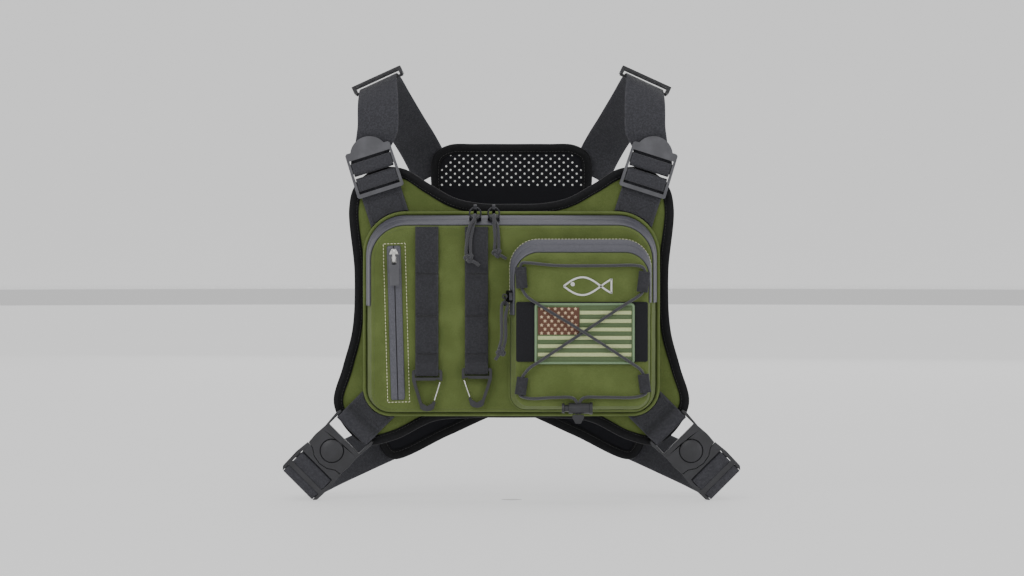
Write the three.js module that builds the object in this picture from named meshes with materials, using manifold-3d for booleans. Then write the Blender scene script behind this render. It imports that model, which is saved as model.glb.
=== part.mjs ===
// A chest rig for fishing: a padded chest panel with two zipped pockets, carried on two
// shoulder straps and two side straps that meet at a perforated back panel.
// Millimetres, +Z up. The origin is the centre of the chest panel's back face, -Y is the
// front of the rig and +Y is the wearer's side. Left and right are as seen from the front.
import * as THREE from "three";
import { mergeVertices } from "three/addons/utils/BufferGeometryUtils.js";
import Module from "manifold-3d";

const wasm = await Module();
wasm.setup();

// ---------------------------------------------------------------- driving sizes
const GAP = 0.3; // air between two pieces that touch
const WEB = 1.6; // webbing thickness
const STRAP_WIDTH = 38; // shoulder and side webbing
const MOLLE_WIDTH = 21.4; // load webbing on the main pocket
const PULL_CLEAR = 0.6; // from a pull cord to the pocket's face that it hangs down
const STRAP_PLAY = 1; // a slot is this much wider than its strap
const FRAME_SIDES = 6; // both sides of a ladder lock or buckle, beside its slot
const CLIP_SIDES = 6.6; // both sides of a carabiner, beside its webbing
const CHANNEL_PLAY = 1; // round the lacing in its tabs
const TORSO_DEPTH = 115; // chest panel's back face to back panel's inner face

// Right half of each panel's outline, [x, z], from the top centre round to the bottom centre.
const CHEST = {
  thickness: 5,
  half: [
    [0, 102], [28, 102.6], [52, 107.5], [76, 120.5], [101, 135], [126, 135], [146, 119],
    [151.5, 98], [146.5, 38], [148.5, -15], [157.5, -50], [166, -84], [152, -111], [134, -123],
    [108, -118], [72, -101], [40, -98], [0, -97.7],
  ],
};
const BACK = {
  thickness: 4,
  half: [
    [0, 158], [34, 158], [60, 157], [74, 148], [77, 130], [71, 70], [63, 10], [70, -45],
    [96, -82], [124, -99], [129, -110], [124, -135], [113, -143.5], [60, -120.7], [14, -100.2],
    [0, -97],
  ],
};
const BINDING = { width: 9, thickness: 1 };
const PIPING = 3.6; // diameter of the cord in the pocket's base seam

// Pockets: a base outline at the seam, a shoulder level and a smaller front face.
const POCKET_WALL = 1.8;
const FRONT_PLY = 2; // padded front face
const MAIN = {
  base: { left: -134.5, right: 134.5, bottom: -92, top: 91.4, topRadius: 36, bottomRadius: 22 },
  face: { left: -130, right: 130.5, bottom: -90.5, top: 82.4, topRadius: 32, bottomRadius: 18 },
  shoulderDepth: 21,
  depth: 38,
  zipEnds: { left: 8, right: 11 }, // height where the zipper stops on each side
};
const FRONT = {
  base: { left: -1.4, right: 128.6, bottom: -88, top: 69.8, topRadius: 26, bottomRadius: 15 },
  face: { left: 3.3, right: 126.5, bottom: -84.2, top: 57.7, topRadius: 22, bottomRadius: 13 },
  shoulderDepth: 12,
  depth: 21,
  zipEnds: { left: 0.3, right: 11.7 },
};
const SHOULDER_DRAW = 0.8; // how far a pocket's wall draws in between base and shoulder
const ZIP_TAPE = 1.4;

// Zipped slit pocket, on the left of the main face, leaning by a small angle.
const SLIT = { x: -106.9, z: -7.5, width: 13, length: 143, tape: 1.2, lean: 1.6, pullTop: 55 };

const MOLLE = {
  x: [-78.2, -32.3], // middle of each webbing
  top: 81.4,
  tacks: [38, -1, -36.5], // heights of the bar tacks
  bulge: 2.6, // how far the webbing stands off between tacks
  tail: -40.5, // top of the folded-back end
};

// Carabiner on the loop at the foot of each load webbing.
const HOOK = {
  width: MOLLE_WIDTH + CLIP_SIDES,
  thickness: 4.5,
  below: [33.4, 31.8], // pivot down to the tip's centre line, left and right
  pivotZ: [-52.3, -50.6],
  bar: 1.5, // half thickness of the bar in the webbing
  slot: 5.6, // pivot to the lower bar
  rod: 3.4, // width of the rod round the opening
  wire: 1.5, // gate wire
};

const LOOP = { left: 4.2, right: 125.6, bottom: -42.6, top: 12.6, thickness: 1.4 };
const PATCH = { left: 21.1, right: 113.6, bottom: -44.9, top: 11.7, thickness: 1.8 };

// Bungee lacing over the front pocket.
const BUNGEE = 2.8;
const TABS = {
  width: 10.5,
  depth: 6.8,
  channel: BUNGEE / 2 + CHANNEL_PLAY, // radius of the cord's channel
  places: {
    upper_left: { x: 9, z: 35, height: 19.5, lean: -4 },
    upper_right: { x: 121.4, z: 31.2, height: 19, lean: 7 },
    lower_left: { x: 9.2, z: -64.8, height: 16.2, lean: 8 },
    lower_right: { x: 122.4, z: -62.5, height: 17, lean: -8 },
  },
};
const CORD_LOCK = {
  x: 61.4, z: -85.2, radius: 5, bore: 3.5, cap: 46.4, capPly: 2.4, travel: 3.5, right: 74.6,
};

// Ladder lock: local z runs up the lock, local x across it.
const LOCK = {
  x: 127.9, z: 133.7, lean: 17.7,
  width: STRAP_WIDTH + STRAP_PLAY + FRAME_SIDES, rail: 2.9, bottom: -21.7, top: 21.7, bar: 3.8,
  lowerBar: [-15.4, -5.7], upperBar: [1.7, 11.4],
  barDepth: 3, thumb: 18, thumbFoot: 14.2, thumbPly: 2.6,
};

// Side release buckle with a centre button: local x runs outwards along the strap.
const BUCKLE = {
  x: 167.3, z: -127.9, slope: 45,
  width: STRAP_WIDTH + STRAP_PLAY + FRAME_SIDES, thickness: 8.2,
  button: 10.7, dome: 2.2, flange: 11.9, fit: 0.35,
  barrel: 16.4, // radius of the socket's round end
  innerEnd: -33, innerBar: [-31, -28], waist: -12,
  tongue: [12.6, 17.3], tongueReach: -1, tonguePly: 2.8,
  outerEnd: 45, plugBars: [[22, 28], [38, 42.6]], cover: [32.5, 37.5],
  slotWidth: STRAP_WIDTH + STRAP_PLAY,
};

// Zipper sliders: body length along the teeth, width across and height.
const SLIDER = { length: 11, width: 8, height: 3.4, lug: 3, wire: 1.6 };
const RING = { main: 5.2, front: 4.2 }; // radius to the wire's middle
const PULL_CORD = 3;

// ---------------------------------------------------------------- levels front to back
const bindingFace = -(CHEST.thickness + GAP + BINDING.thickness);
const mainBaseY = bindingFace - GAP;
const mainRimY = mainBaseY - MAIN.depth;
const mainFaceY = mainRimY - GAP - FRONT_PLY;
const frontBaseY = mainFaceY - GAP;
const frontRimY = frontBaseY - FRONT.depth;
const frontFaceY = frontRimY - GAP - FRONT_PLY;
const loopY = frontFaceY - GAP - LOOP.thickness;
const patchY = loopY - GAP - PATCH.thickness;
const tabY = bindingFace - GAP - WEB / 2; // middle of a webbing laid on the binding

// ---------------------------------------------------------------- materials
const cloth = (name, color) => new THREE.MeshStandardMaterial({ name, color, roughness: 0.85 });
const moulded = (name, color) => new THREE.MeshStandardMaterial({ name, color, roughness: 0.5 });
const metal = (name, color) =>
  new THREE.MeshStandardMaterial({ name, color, roughness: 0.3, metalness: 1 });

const OLIVE = cloth("olive nylon", 0x6b7744);
const WEBBING = cloth("black webbing", 0x38383e);
const TRIM = cloth("black binding", 0x303034);
const MESH = cloth("perforated foam", 0x141419);
const HOOK_AND_LOOP = cloth("hook and loop", 0x17171c);
const EMBROIDERY = cloth("embroidered patch", 0x8d9a6a);
const COATED = new THREE.MeshStandardMaterial({ color: 0x35353d, roughness: 0.45 });
const BLACK_PLASTIC = moulded("black acetal", 0x34343a);
const GREY_PLASTIC = moulded("grey acetal", 0x5f5f66);
const BLACK_METAL = metal("black zinc", 0x2a2a2e);
const STEEL = metal("bright steel", 0xc8c8c8);
const CORD = cloth("black cord", 0x26262c);

// ---------------------------------------------------------------- flat outlines
const point = (x, z) => new THREE.Vector2(x, z);

/** A rectangle box made larger all round, its corner radii with it. */
function grown(box, by) {
  return {
    left: box.left - by, right: box.right + by, bottom: box.bottom - by, top: box.top + by,
    topRadius: box.topRadius + by, bottomRadius: box.bottomRadius + by,
  };
}

/** Points along a quarter turn, from an angle in degrees, anticlockwise. */
function quarter(x, z, radius, from, steps) {
  return Array.from({ length: steps + 1 }, (_, k) => {
    const angle = THREE.MathUtils.degToRad(from + (90 * k) / steps);
    return point(x + radius * Math.cos(angle), z + radius * Math.sin(angle));
  });
}

/** A rounded rectangle as points, anticlockwise from the lower right. */
function rounded(box, steps = 7) {
  const { left, right, bottom, top, topRadius, bottomRadius } = box;
  return [
    ...quarter(right - bottomRadius, bottom + bottomRadius, bottomRadius, 270, steps),
    ...quarter(right - topRadius, top - topRadius, topRadius, 0, steps),
    ...quarter(left + topRadius, top - topRadius, topRadius, 90, steps),
    ...quarter(left + bottomRadius, bottom + bottomRadius, bottomRadius, 180, steps),
  ];
}

/** The stretch of a rounded rectangle that a zipper follows, right side to left side. */
function overTheTop(box, ends, steps = 8) {
  const { left, right, top, topRadius } = box;
  return [
    point(right, ends.right),
    ...quarter(right - topRadius, top - topRadius, topRadius, 0, steps),
    ...quarter(left + topRadius, top - topRadius, topRadius, 90, steps),
    point(left, ends.left),
  ];
}

const rectangle = (left, right, bottom, top) =>
  [point(left, bottom), point(right, bottom), point(right, top), point(left, top)];

/** A closed symmetric outline drawn smoothly through a half outline, anticlockwise. */
function smoothPanel(half, count = 60) {
  const right = half.map(([x, z]) => new THREE.Vector3(x, z, 0));
  const left = right.slice(1, -1).map((p) => new THREE.Vector3(-p.x, p.y, 0));
  const curve = new THREE.CatmullRomCurve3([...left, right.at(-1), ...right.reverse().slice(1)]
    .filter((p, i, all) => i === 0 || p.distanceTo(all[i - 1]) > 1e-6), true, "centripetal");
  return curve.getSpacedPoints(count).slice(0, -1).map((p) => point(p.x, p.y));
}

/** An anticlockwise outline moved outwards by a distance, or inwards if it is negative. */
function offset(outline, distance) {
  const count = outline.length;
  return outline.map((p, i) => {
    const a = p.clone().sub(outline[(i + count - 1) % count]).normalize();
    const b = outline[(i + 1) % count].clone().sub(p).normalize();
    const out = point(a.y + b.y, -a.x - b.x).normalize();
    const mitre = Math.max(0.6, out.dot(point(a.y, -a.x)));
    return p.clone().addScaledVector(out, distance / mitre);
  });
}

// ---------------------------------------------------------------- solids
/** Triangles that fill a loop of 3-D points, turned the same way as the loop. */
function fill(loop) {
  const normal = new THREE.Vector3();
  loop.forEach((p, i) => {
    normal.add(new THREE.Vector3().crossVectors(p, loop[(i + 1) % loop.length]));
  });
  const [x, y, z] = [normal.x, normal.y, normal.z].map(Math.abs);
  const flat = loop.map((p) => {
    if (x >= y && x >= z) return point(p.y, p.z);
    return y >= z ? point(p.z, p.x) : point(p.x, p.y);
  });
  const turn = Math.sign(THREE.ShapeUtils.area(flat));
  return THREE.ShapeUtils.triangulateShape(flat, []).map((face) => {
    const area = THREE.ShapeUtils.area(face.map((i) => flat[i]));
    return Math.sign(area) === turn ? face : [face[0], face[2], face[1]];
  });
}

/** A closed surface over loops of equal length; a ring joins its last loop to its first. */
function skin(loops, { ring = false } = {}) {
  const size = loops[0].length;
  const triangles = [];
  const bands = ring ? loops.length : loops.length - 1;
  for (let i = 0; i < bands; i++) {
    const next = ((i + 1) % loops.length) * size;
    for (let j = 0; j < size; j++) {
      const k = (j + 1) % size;
      triangles.push([i * size + j, i * size + k, next + k], [i * size + j, next + k, next + j]);
    }
  }
  if (!ring) {
    const last = (loops.length - 1) * size;
    fill(loops[0]).forEach(([a, b, c]) => triangles.push([a, c, b]));
    fill(loops.at(-1)).forEach((face) => triangles.push(face.map((i) => i + last)));
  }
  const points = loops.flat();
  const volume = triangles.reduce((sum, [a, b, c]) =>
    sum + points[a].dot(new THREE.Vector3().crossVectors(points[b], points[c])), 0);
  const geometry = new THREE.BufferGeometry().setFromPoints(points);
  geometry.setIndex(triangles.flatMap(([a, b, c]) => (volume < 0 ? [a, c, b] : [a, b, c])));
  return geometry;
}

/** A plate of one outline between two depths. */
function plate(outline, back, front, holes = []) {
  const shape = new THREE.Shape(outline);
  shape.holes = holes.map((hole) => new THREE.Path(hole));
  const depth = back - front;
  return new THREE.ExtrudeGeometry(shape, { depth, bevelEnabled: false, curveSegments: 8 })
    .rotateX(Math.PI / 2).translate(0, back, 0);
}

/** A profile in the plane of y and z, drawn as [z, y] points, carried across x. */
function profileAcross(outline, width) {
  return skin([-width / 2, width / 2].map((x) =>
    outline.map(([z, y]) => new THREE.Vector3(x, y, z))));
}

const lift = (outline, y) => outline.map((p) => new THREE.Vector3(p.x, y, p.y));
const box = (x, y, z) => new THREE.BoxGeometry(x, y, z);

/** A disc or short rod whose axis runs along y. */
function disc(radius, back, front, sides = 24) {
  return new THREE.CylinderGeometry(radius, radius, back - front, sides)
    .translate(0, (back + front) / 2, 0);
}

/** A closed wire ring that lies in the plane of x and z. */
function wireRing(radius, wire, steps = 16, sides = 6) {
  return new THREE.TorusGeometry(radius, wire / 2, sides, steps).rotateX(Math.PI / 2);
}

/** A round bead run along a closed flat outline. */
function bead(outline, y, diameter, sides = 8) {
  const inner = offset(outline, 1);
  return skin(outline.map((p, i) => {
    const out = inner[i].clone().sub(p).normalize();
    return Array.from({ length: sides }, (_, k) => {
      const angle = (2 * Math.PI * k) / sides;
      const reach = (diameter / 2) * Math.cos(angle);
      return new THREE.Vector3(
        p.x + out.x * reach, y + (diameter / 2) * Math.sin(angle), p.y + out.y * reach);
    });
  }), { ring: true });
}

/** A cord along a smooth curve through its points. */
function cord(points, diameter, steps) {
  const path = new THREE.CatmullRomCurve3(points.map((p) => new THREE.Vector3(...p)),
    false, "centripetal");
  const section = new THREE.Shape().absarc(0, 0, diameter / 2, 0, 2 * Math.PI);
  return new THREE.ExtrudeGeometry(section, {
    extrudePath: path, steps, bevelEnabled: false, curveSegments: 4,
  });
}

/** Webbing through stations of a middle point and a direction across, smoothed between. */
function webbing(stations, width, steps, thickness = WEB) {
  const middle = new THREE.CatmullRomCurve3(stations.map((s) => s.at), false, "centripetal");
  const across = new THREE.CatmullRomCurve3(stations.map((s) => s.across));
  return skin(Array.from({ length: steps + 1 }, (_, k) => {
    const t = k / steps;
    const at = middle.getPoint(t);
    const side = across.getPoint(t).normalize();
    const face = new THREE.Vector3().crossVectors(side, middle.getTangent(t)).normalize();
    return [[1, 1], [1, -1], [-1, -1], [-1, 1]].map(([u, v]) => at.clone()
      .addScaledVector(side, (u * width) / 2).addScaledVector(face, (v * thickness) / 2));
  }));
}

/** A three.js geometry as a manifold solid, for cutting and joining. */
function solid(geometry) {
  const bare = new THREE.BufferGeometry();
  bare.setAttribute("position", geometry.getAttribute("position"));
  bare.setIndex(geometry.index);
  const merged = mergeVertices(bare, 1e-4);
  return new wasm.Manifold(new wasm.Mesh({
    numProp: 3,
    vertProperties: Float32Array.from(merged.getAttribute("position").array),
    triVerts: Uint32Array.from(merged.index.array),
  }));
}

/** The first geometry with others joined to it and others cut from it. */
function shaped(first, { join = [], cut = [] }) {
  let body = solid(first);
  join.forEach((geometry) => { body = body.add(solid(geometry)); });
  cut.forEach((geometry) => { body = body.subtract(solid(geometry)); });
  const mesh = body.getMesh();
  const geometry = new THREE.BufferGeometry();
  geometry.setAttribute("position", new THREE.BufferAttribute(mesh.vertProperties, 3));
  geometry.setIndex(new THREE.BufferAttribute(mesh.triVerts, 1));
  return geometry;
}

/** The same shape on the other side of the rig. */
function mirrored(geometry) {
  const copy = geometry.clone().scale(-1, 1, 1);
  const count = copy.getAttribute("position").count;
  const old = copy.index ? copy.index.array : Array.from({ length: count }, (_, i) => i);
  copy.setIndex(Array.from(old, (_, i) => old[i - (i % 3) + [0, 2, 1][i % 3]]));
  return copy;
}

// ---------------------------------------------------------------- the scene graph
const rig = new THREE.Group();

function add(name, geometry, material, parent = rig) {
  const mesh = new THREE.Mesh(geometry, material);
  mesh.name = name;
  parent.add(mesh);
  return mesh;
}

/** A piece made for the right side, and its mirror image on the left. */
function addPair(name, geometry, material) {
  add(`${name}_right`, geometry, material);
  add(`${name}_left`, mirrored(geometry), material);
}

// ---------------------------------------------------------------- panels
/** A padded panel and the folded binding round its edge. */
function boundPanel(outline, front, back) {
  const { width, thickness } = BINDING;
  const panel = plate(offset(outline, -(thickness + GAP)), back, front);
  const levels = [
    [0, back + GAP + thickness], [0, front - GAP - thickness],
    [-width, front - GAP - thickness], [-width, front - GAP],
    [-thickness, front - GAP], [-thickness, back + GAP],
    [-width, back + GAP], [-width, back + GAP + thickness],
  ].map(([reach, y]) => lift(offset(outline, reach), y));
  const binding = skin(outline.map((_, i) => levels.map((ring) => ring[i])), { ring: true });
  return { panel, binding };
}

const chest = boundPanel(smoothPanel(CHEST.half), -CHEST.thickness, 0);
add("chest_panel", chest.panel, OLIVE);
add("chest_binding", chest.binding, TRIM);

const back = boundPanel(smoothPanel(BACK.half), TORSO_DEPTH, TORSO_DEPTH + BACK.thickness);
add("back_panel", back.panel, MESH);
add("back_binding", back.binding, TRIM);

// ---------------------------------------------------------------- pockets
/** The depths and outlines of a pocket's wall, from its seam to its front rim. */
function pocketLevels(pocket, baseY) {
  return [
    { y: baseY, box: pocket.base },
    { y: baseY - pocket.shoulderDepth, box: grown(pocket.base, -SHOULDER_DRAW) },
    { y: baseY - pocket.depth, box: pocket.face },
  ];
}

/** A pocket's wall: a tapering tube, open at the panel and at the front. */
function gusset(levels) {
  const outer = levels.map(({ y, box: b }) => lift(rounded(b), y));
  const inner = levels.map(({ y, box: b }) => lift(rounded(grown(b, -POCKET_WALL)), y));
  return skin([...outer, ...inner.reverse()], { ring: true });
}

/** The padded front of a pocket, its edge turned in. */
function pocketFront(face, rimY) {
  const edge = rimY - GAP;
  return skin([
    lift(rounded(face), edge),
    lift(rounded(face), edge - FRONT_PLY * 0.55),
    lift(rounded(grown(face, -FRONT_PLY * 0.6)), edge - FRONT_PLY),
  ]);
}

/** The zipper laid over a pocket's shoulder. */
function zipperTape(levels, ends) {
  const [, shoulder, rim] = levels;
  const rail = (level, reach) => lift(overTheTop(grown(level.box, reach), ends), level.y);
  const rails = [
    rail(shoulder, GAP), rail(rim, GAP), rail(rim, GAP + ZIP_TAPE), rail(shoulder, GAP + ZIP_TAPE),
  ];
  return skin(rails[0].map((_, i) => rails.map((line) => line[i])));
}

const mainLevels = pocketLevels(MAIN, mainBaseY);
add("main_pocket_gusset", gusset(mainLevels), OLIVE);
add("main_pocket_front", pocketFront(MAIN.face, mainRimY), OLIVE);
add("main_zipper_tape", zipperTape(mainLevels, MAIN.zipEnds), COATED);
const pipingReach = GAP + PIPING / 2;
add("main_pocket_piping",
  bead(rounded(grown(MAIN.base, pipingReach)), mainBaseY - PIPING / 2, PIPING), OLIVE);

const frontLevels = pocketLevels(FRONT, frontBaseY);
add("front_pocket_gusset", gusset(frontLevels), OLIVE);
add("front_pocket_front", pocketFront(FRONT.face, frontRimY), OLIVE);
add("front_zipper_tape", zipperTape(frontLevels, FRONT.zipEnds), COATED);
add("loop_panel", plate(rectangle(LOOP.left, LOOP.right, LOOP.bottom, LOOP.top),
  loopY + LOOP.thickness, loopY), HOOK_AND_LOOP);
add("patch", plate(rectangle(PATCH.left, PATCH.right, PATCH.bottom, PATCH.top),
  patchY + PATCH.thickness, patchY), EMBROIDERY);

// ---------------------------------------------------------------- load webbing
/** Both sides of a ribbon's middle line of [z, y] points, as one closed profile. */
function ribbonProfile(line, thickness) {
  const path = new THREE.CatmullRomCurve3(line.map(([z, y]) => new THREE.Vector3(z, y, 0)),
    false, "centripetal");
  const steps = line.length * 2;
  const sides = Array.from({ length: steps + 1 }, (_, k) => {
    const at = path.getPoint(k / steps);
    const along = path.getTangent(k / steps);
    const out = [(-along.y * thickness) / 2, (along.x * thickness) / 2];
    return [[at.x + out[0], at.y + out[1]], [at.x - out[0], at.y - out[1]]];
  });
  return [...sides.map(([a]) => a), ...sides.map(([, b]) => b).reverse()];
}

// the webbing's middle, round the corners of the carabiner's bar
const loopRadius = Math.hypot(HOOK.bar, HOOK.thickness / 2) + GAP + WEB / 2;
const hookY = mainFaceY - GAP - WEB / 2 - loopRadius;

/** One load webbing: three sewn-down stretches, then a loop back through the carabiner. */
function molleWebbing(pivotZ) {
  const flat = mainFaceY - GAP - WEB / 2;
  const proud = flat - MOLLE.bulge;
  const sewn = [MOLLE.top, ...MOLLE.tacks];
  const line = [];
  sewn.forEach((z, i) => {
    const level = i === sewn.length - 1 ? flat - WEB - GAP : flat;
    line.push([z, level]);
    if (i < sewn.length - 1) {
      const reach = z - sewn[i + 1];
      line.push([z - reach * 0.3, proud], [z - reach * 0.7, proud]);
    }
  });
  const turn = [0, 45, 90, 135, 180].map((degrees) => {
    const angle = THREE.MathUtils.degToRad(degrees);
    return [pivotZ - loopRadius * Math.sin(angle), hookY - loopRadius * Math.cos(angle)];
  });
  line.push([pivotZ + 5, hookY - loopRadius], ...turn, [pivotZ + 5, flat], [MOLLE.tail, flat]);
  return profileAcross(ribbonProfile(line, WEB), MOLLE_WIDTH);
}

["left", "right"].forEach((side, i) => {
  const strap = add(`molle_strap_${side}`, molleWebbing(HOOK.pivotZ[i]), WEBBING);
  strap.position.x = MOLLE.x[i];
});

// ---------------------------------------------------------------- carabiners
/** Carabiner and wire gate in the plane of x and z, hung from a pivot at the origin. */
function carabiner(below) {
  const { width, bar, slot, rod, thickness, wire } = HOOK;
  const half = width / 2;
  const tipRadius = 6.6;
  const outline = [
    point(-half + 1.2, bar), point(-half, bar - 1.6), point(-half, -slot - 2.6),
    point(-half + 2.2, -slot - 10), point(-tipRadius - 0.6, -below + 3),
    ...[200, 235, 270, 305, 340].map((degrees) => {
      const angle = THREE.MathUtils.degToRad(degrees);
      return point(tipRadius * Math.cos(angle), -below + 0.6 + tipRadius * Math.sin(angle) * 0.62);
    }),
    point(tipRadius + 0.6, -below + 3), point(half - 2.2, -slot - 10),
    point(half, -slot - 2.6), point(half, bar - 1.6), point(half - 1.2, bar),
  ];
  const webHole = rectangle(-MOLLE_WIDTH / 2 - 0.7, MOLLE_WIDTH / 2 + 0.7, -slot, -bar);
  const eyeTop = -slot - 2.8;
  const eye = [
    point(-half + rod, eyeTop), point(-half + rod + 1.6, -slot - 9), point(-4.6, -below + 4),
    point(0, -below + 1.4), point(4.6, -below + 4), point(half - rod - 1.6, -slot - 9),
    point(half - rod, eyeTop),
  ];
  const frame = plate(outline, thickness / 2, -thickness / 2, [webHole.reverse(), eye.reverse()]);
  const hinge = point(half - rod / 2 - 0.4, eyeTop - 1.2);
  const nose = point(tipRadius + 0.2, -below + 6.6);
  const along = nose.clone().sub(hinge);
  const reach = along.length();
  const gateBox = box(rod * 2 + 2.4, thickness * 2, reach + 2.4);
  gateBox.rotateY(Math.atan2(-along.x, -along.y)).translate(
    (hinge.x + nose.x) / 2 + 0.4, 0, (hinge.y + nose.y) / 2);
  const gate = [
    [hinge.x, -wire * 0.55, hinge.y], [nose.x * 0.5 + hinge.x * 0.5, -wire * 0.62,
      nose.y * 0.5 + hinge.y * 0.5], [nose.x, -wire * 0.62, nose.y + 0.6],
    [nose.x - 0.1, 0, nose.y - 0.3], [nose.x, wire * 0.62, nose.y + 0.6],
    [nose.x * 0.5 + hinge.x * 0.5, wire * 0.62, nose.y * 0.5 + hinge.y * 0.5],
    [hinge.x, wire * 0.55, hinge.y],
  ];
  return { frame: shaped(frame, { cut: [gateBox] }), gate: cord(gate, wire * 0.9, 12), hinge };
}

["left", "right"].forEach((side, i) => {
  const { frame, gate } = carabiner(HOOK.below[i]);
  const opensRight = side === "left"; // the gates face each other
  const holder = new THREE.Group();
  holder.position.set(MOLLE.x[i] + [0.3, 0.4][i], hookY, HOOK.pivotZ[i]);
  rig.add(holder);
  add(`carabiner_${side}`, opensRight ? frame : mirrored(frame), BLACK_PLASTIC, holder);
  add(`gate_${side}`, opensRight ? gate : mirrored(gate), STEEL, holder);
});

// ---------------------------------------------------------------- bungee lacing
/** A folded webbing tab with a channel for the cord along z. */
function bungeeTab({ height }) {
  const { width, depth, channel } = TABS;
  const outline = [
    point(-width / 2, -depth / 2 + 1.2), point(-width / 2 + 1.2, -depth / 2),
    point(width / 2 - 1.2, -depth / 2), point(width / 2, -depth / 2 + 1.2),
    point(width / 2, depth / 2), point(-width / 2, depth / 2),
  ];
  const bore = new THREE.CylinderGeometry(channel, channel, height * 2, 12).rotateX(Math.PI / 2);
  const shape = new THREE.Shape(outline);
  const block = new THREE.ExtrudeGeometry(shape, { depth: height, bevelEnabled: false })
    .translate(0, 0, -height / 2);
  return shaped(block, { cut: [bore] });
}

const tabMiddleY = frontFaceY - GAP - TABS.depth / 2;
for (const [name, place] of Object.entries(TABS.places)) {
  const tab = add(`bungee_tab_${name}`, bungeeTab(place), WEBBING);
  tab.position.set(place.x, tabMiddleY, place.z);
  tab.rotation.y = THREE.MathUtils.degToRad(place.lean);
}

/** A point on a tab's channel, a distance up from its middle. */
function onTab(name, up) {
  const { x, z, lean } = TABS.places[name];
  const angle = THREE.MathUtils.degToRad(lean);
  return [x + up * Math.sin(angle), tabMiddleY, z + up * Math.cos(angle)];
}

const overPatchY = patchY - GAP - BUNGEE / 2;
const crossing = [66.5, -15];
const lockY = frontFaceY - 1.2 - CORD_LOCK.radius;
const strand = BUNGEE / 2 + 0.15; // the two strands side by side in the cord lock
/** The cord's points through a tab: up (1) or down (-1) its channel. */
function throughTab(name, way) {
  const half = TABS.places[name].height / 2;
  return [-half - 0.6, -half * 0.85, half * 0.85, half + 0.6].map((up) => onTab(name, way * up));
}
add("bungee_cord", cord([
  [CORD_LOCK.x - strand, lockY, CORD_LOCK.z - 5.6],
  [CORD_LOCK.x - strand, lockY, CORD_LOCK.z],
  [CORD_LOCK.x - strand, lockY, CORD_LOCK.z + 5.6],
  [CORD_LOCK.x - 5, lockY + 1, CORD_LOCK.z + 9.4],
  [40, tabMiddleY, -75.4],
  [16, tabMiddleY, -76.2],
  ...throughTab("lower_left", 1),
  [16, tabMiddleY - 1.5, -48.8],
  [26, overPatchY, -42],
  [crossing[0], overPatchY - 0.1, crossing[1]],
  [104, overPatchY, 10],
  [114.5, tabMiddleY - 0.8, 16.4],
  ...throughTab("upper_right", 1),
  [120.6, tabMiddleY, 44.6],
  [114, tabMiddleY, 46.2],
  [90, tabMiddleY + 0.4, 46],
  [40, tabMiddleY + 0.4, 46.2],
  [15, tabMiddleY, 48.6],
  [9.6, tabMiddleY, 48.4],
  ...throughTab("upper_left", -1),
  [14.6, tabMiddleY - 1.2, 17.5],
  [28, overPatchY, 8.4],
  [crossing[0], overPatchY - BUNGEE - 0.5, crossing[1]],
  [111, overPatchY, -44],
  [118, tabMiddleY - 1.2, -49],
  ...throughTab("lower_right", -1),
  [115, tabMiddleY, -75],
  [84, tabMiddleY, -75.2],
  [CORD_LOCK.x + 5, lockY + 1, CORD_LOCK.z + 9.4],
  [CORD_LOCK.x + strand, lockY, CORD_LOCK.z + 5.6],
  [CORD_LOCK.x + strand, lockY, CORD_LOCK.z],
  [CORD_LOCK.x + strand, lockY, CORD_LOCK.z - 5.6],
], BUNGEE, 92), CORD);

// ---------------------------------------------------------------- cord lock
/** A turned shape whose axis runs along x, from [x, radius] points, left end first. */
function turnedAlongX(profile, sides = 16) {
  return new THREE.LatheGeometry(profile.map(([x, r]) => point(r, x)).reverse(), sides)
    .rotateZ(-Math.PI / 2);
}

const { radius: lockRadius, bore: lockBore, travel } = CORD_LOCK;
const cordHalf = strand + BUNGEE / 2 + GAP; // half the room that the two strands take
const passage = box(cordHalf * 2 + 0.4, BUNGEE + 0.9, 40).translate(CORD_LOCK.x, 0, 0);
const plungerEnd = CORD_LOCK.x + 5.4;
const capEnd = CORD_LOCK.cap + CORD_LOCK.capPly;
const barrelLeft = capEnd + travel + GAP;
const barrel = turnedAlongX([
  [barrelLeft, lockBore], [barrelLeft, lockRadius - 0.5],
  [barrelLeft + 0.5, lockRadius], [CORD_LOCK.right - 3, lockRadius],
  [CORD_LOCK.right - 2.6, lockRadius + 0.7], [CORD_LOCK.right, lockRadius + 0.4],
  [CORD_LOCK.right, 0], [CORD_LOCK.right - 2, 0], [CORD_LOCK.right - 2, lockBore],
  [barrelLeft, lockBore],
].reverse());
const plungerRadius = lockBore - GAP;
const plunger = turnedAlongX([
  [CORD_LOCK.cap, 0], [CORD_LOCK.cap, lockRadius - 0.6], [capEnd, lockRadius - 0.2],
  [capEnd, plungerRadius], [plungerEnd, plungerRadius], [plungerEnd, 0],
].reverse());
// long enough to the left for the plunger to move its travel past the cord
const travelSlot = box(cordHalf * 2 + travel, BUNGEE + 0.9, 40)
  .translate(CORD_LOCK.x - travel / 2, 0, 0);
const springTurns = 3.5;
const springPath = Array.from({ length: 29 }, (_, k) => {
  const angle = (k / 28) * springTurns * 2 * Math.PI;
  const along = plungerEnd + 0.8 + (k / 28) * (CORD_LOCK.right - 2 - plungerEnd - 1.6);
  return [along, 2.2 * Math.cos(angle), 2.2 * Math.sin(angle)];
});
const cordLock = new THREE.Group();
cordLock.position.set(0, lockY, CORD_LOCK.z);
rig.add(cordLock);
add("cord_lock_body", shaped(barrel, { cut: [passage] }), BLACK_PLASTIC, cordLock);
add("cord_lock_plunger", shaped(plunger, { cut: [travelSlot] }), BLACK_PLASTIC, cordLock);
add("cord_lock_spring", cord(springPath, 0.8, 34), STEEL, cordLock);
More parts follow.
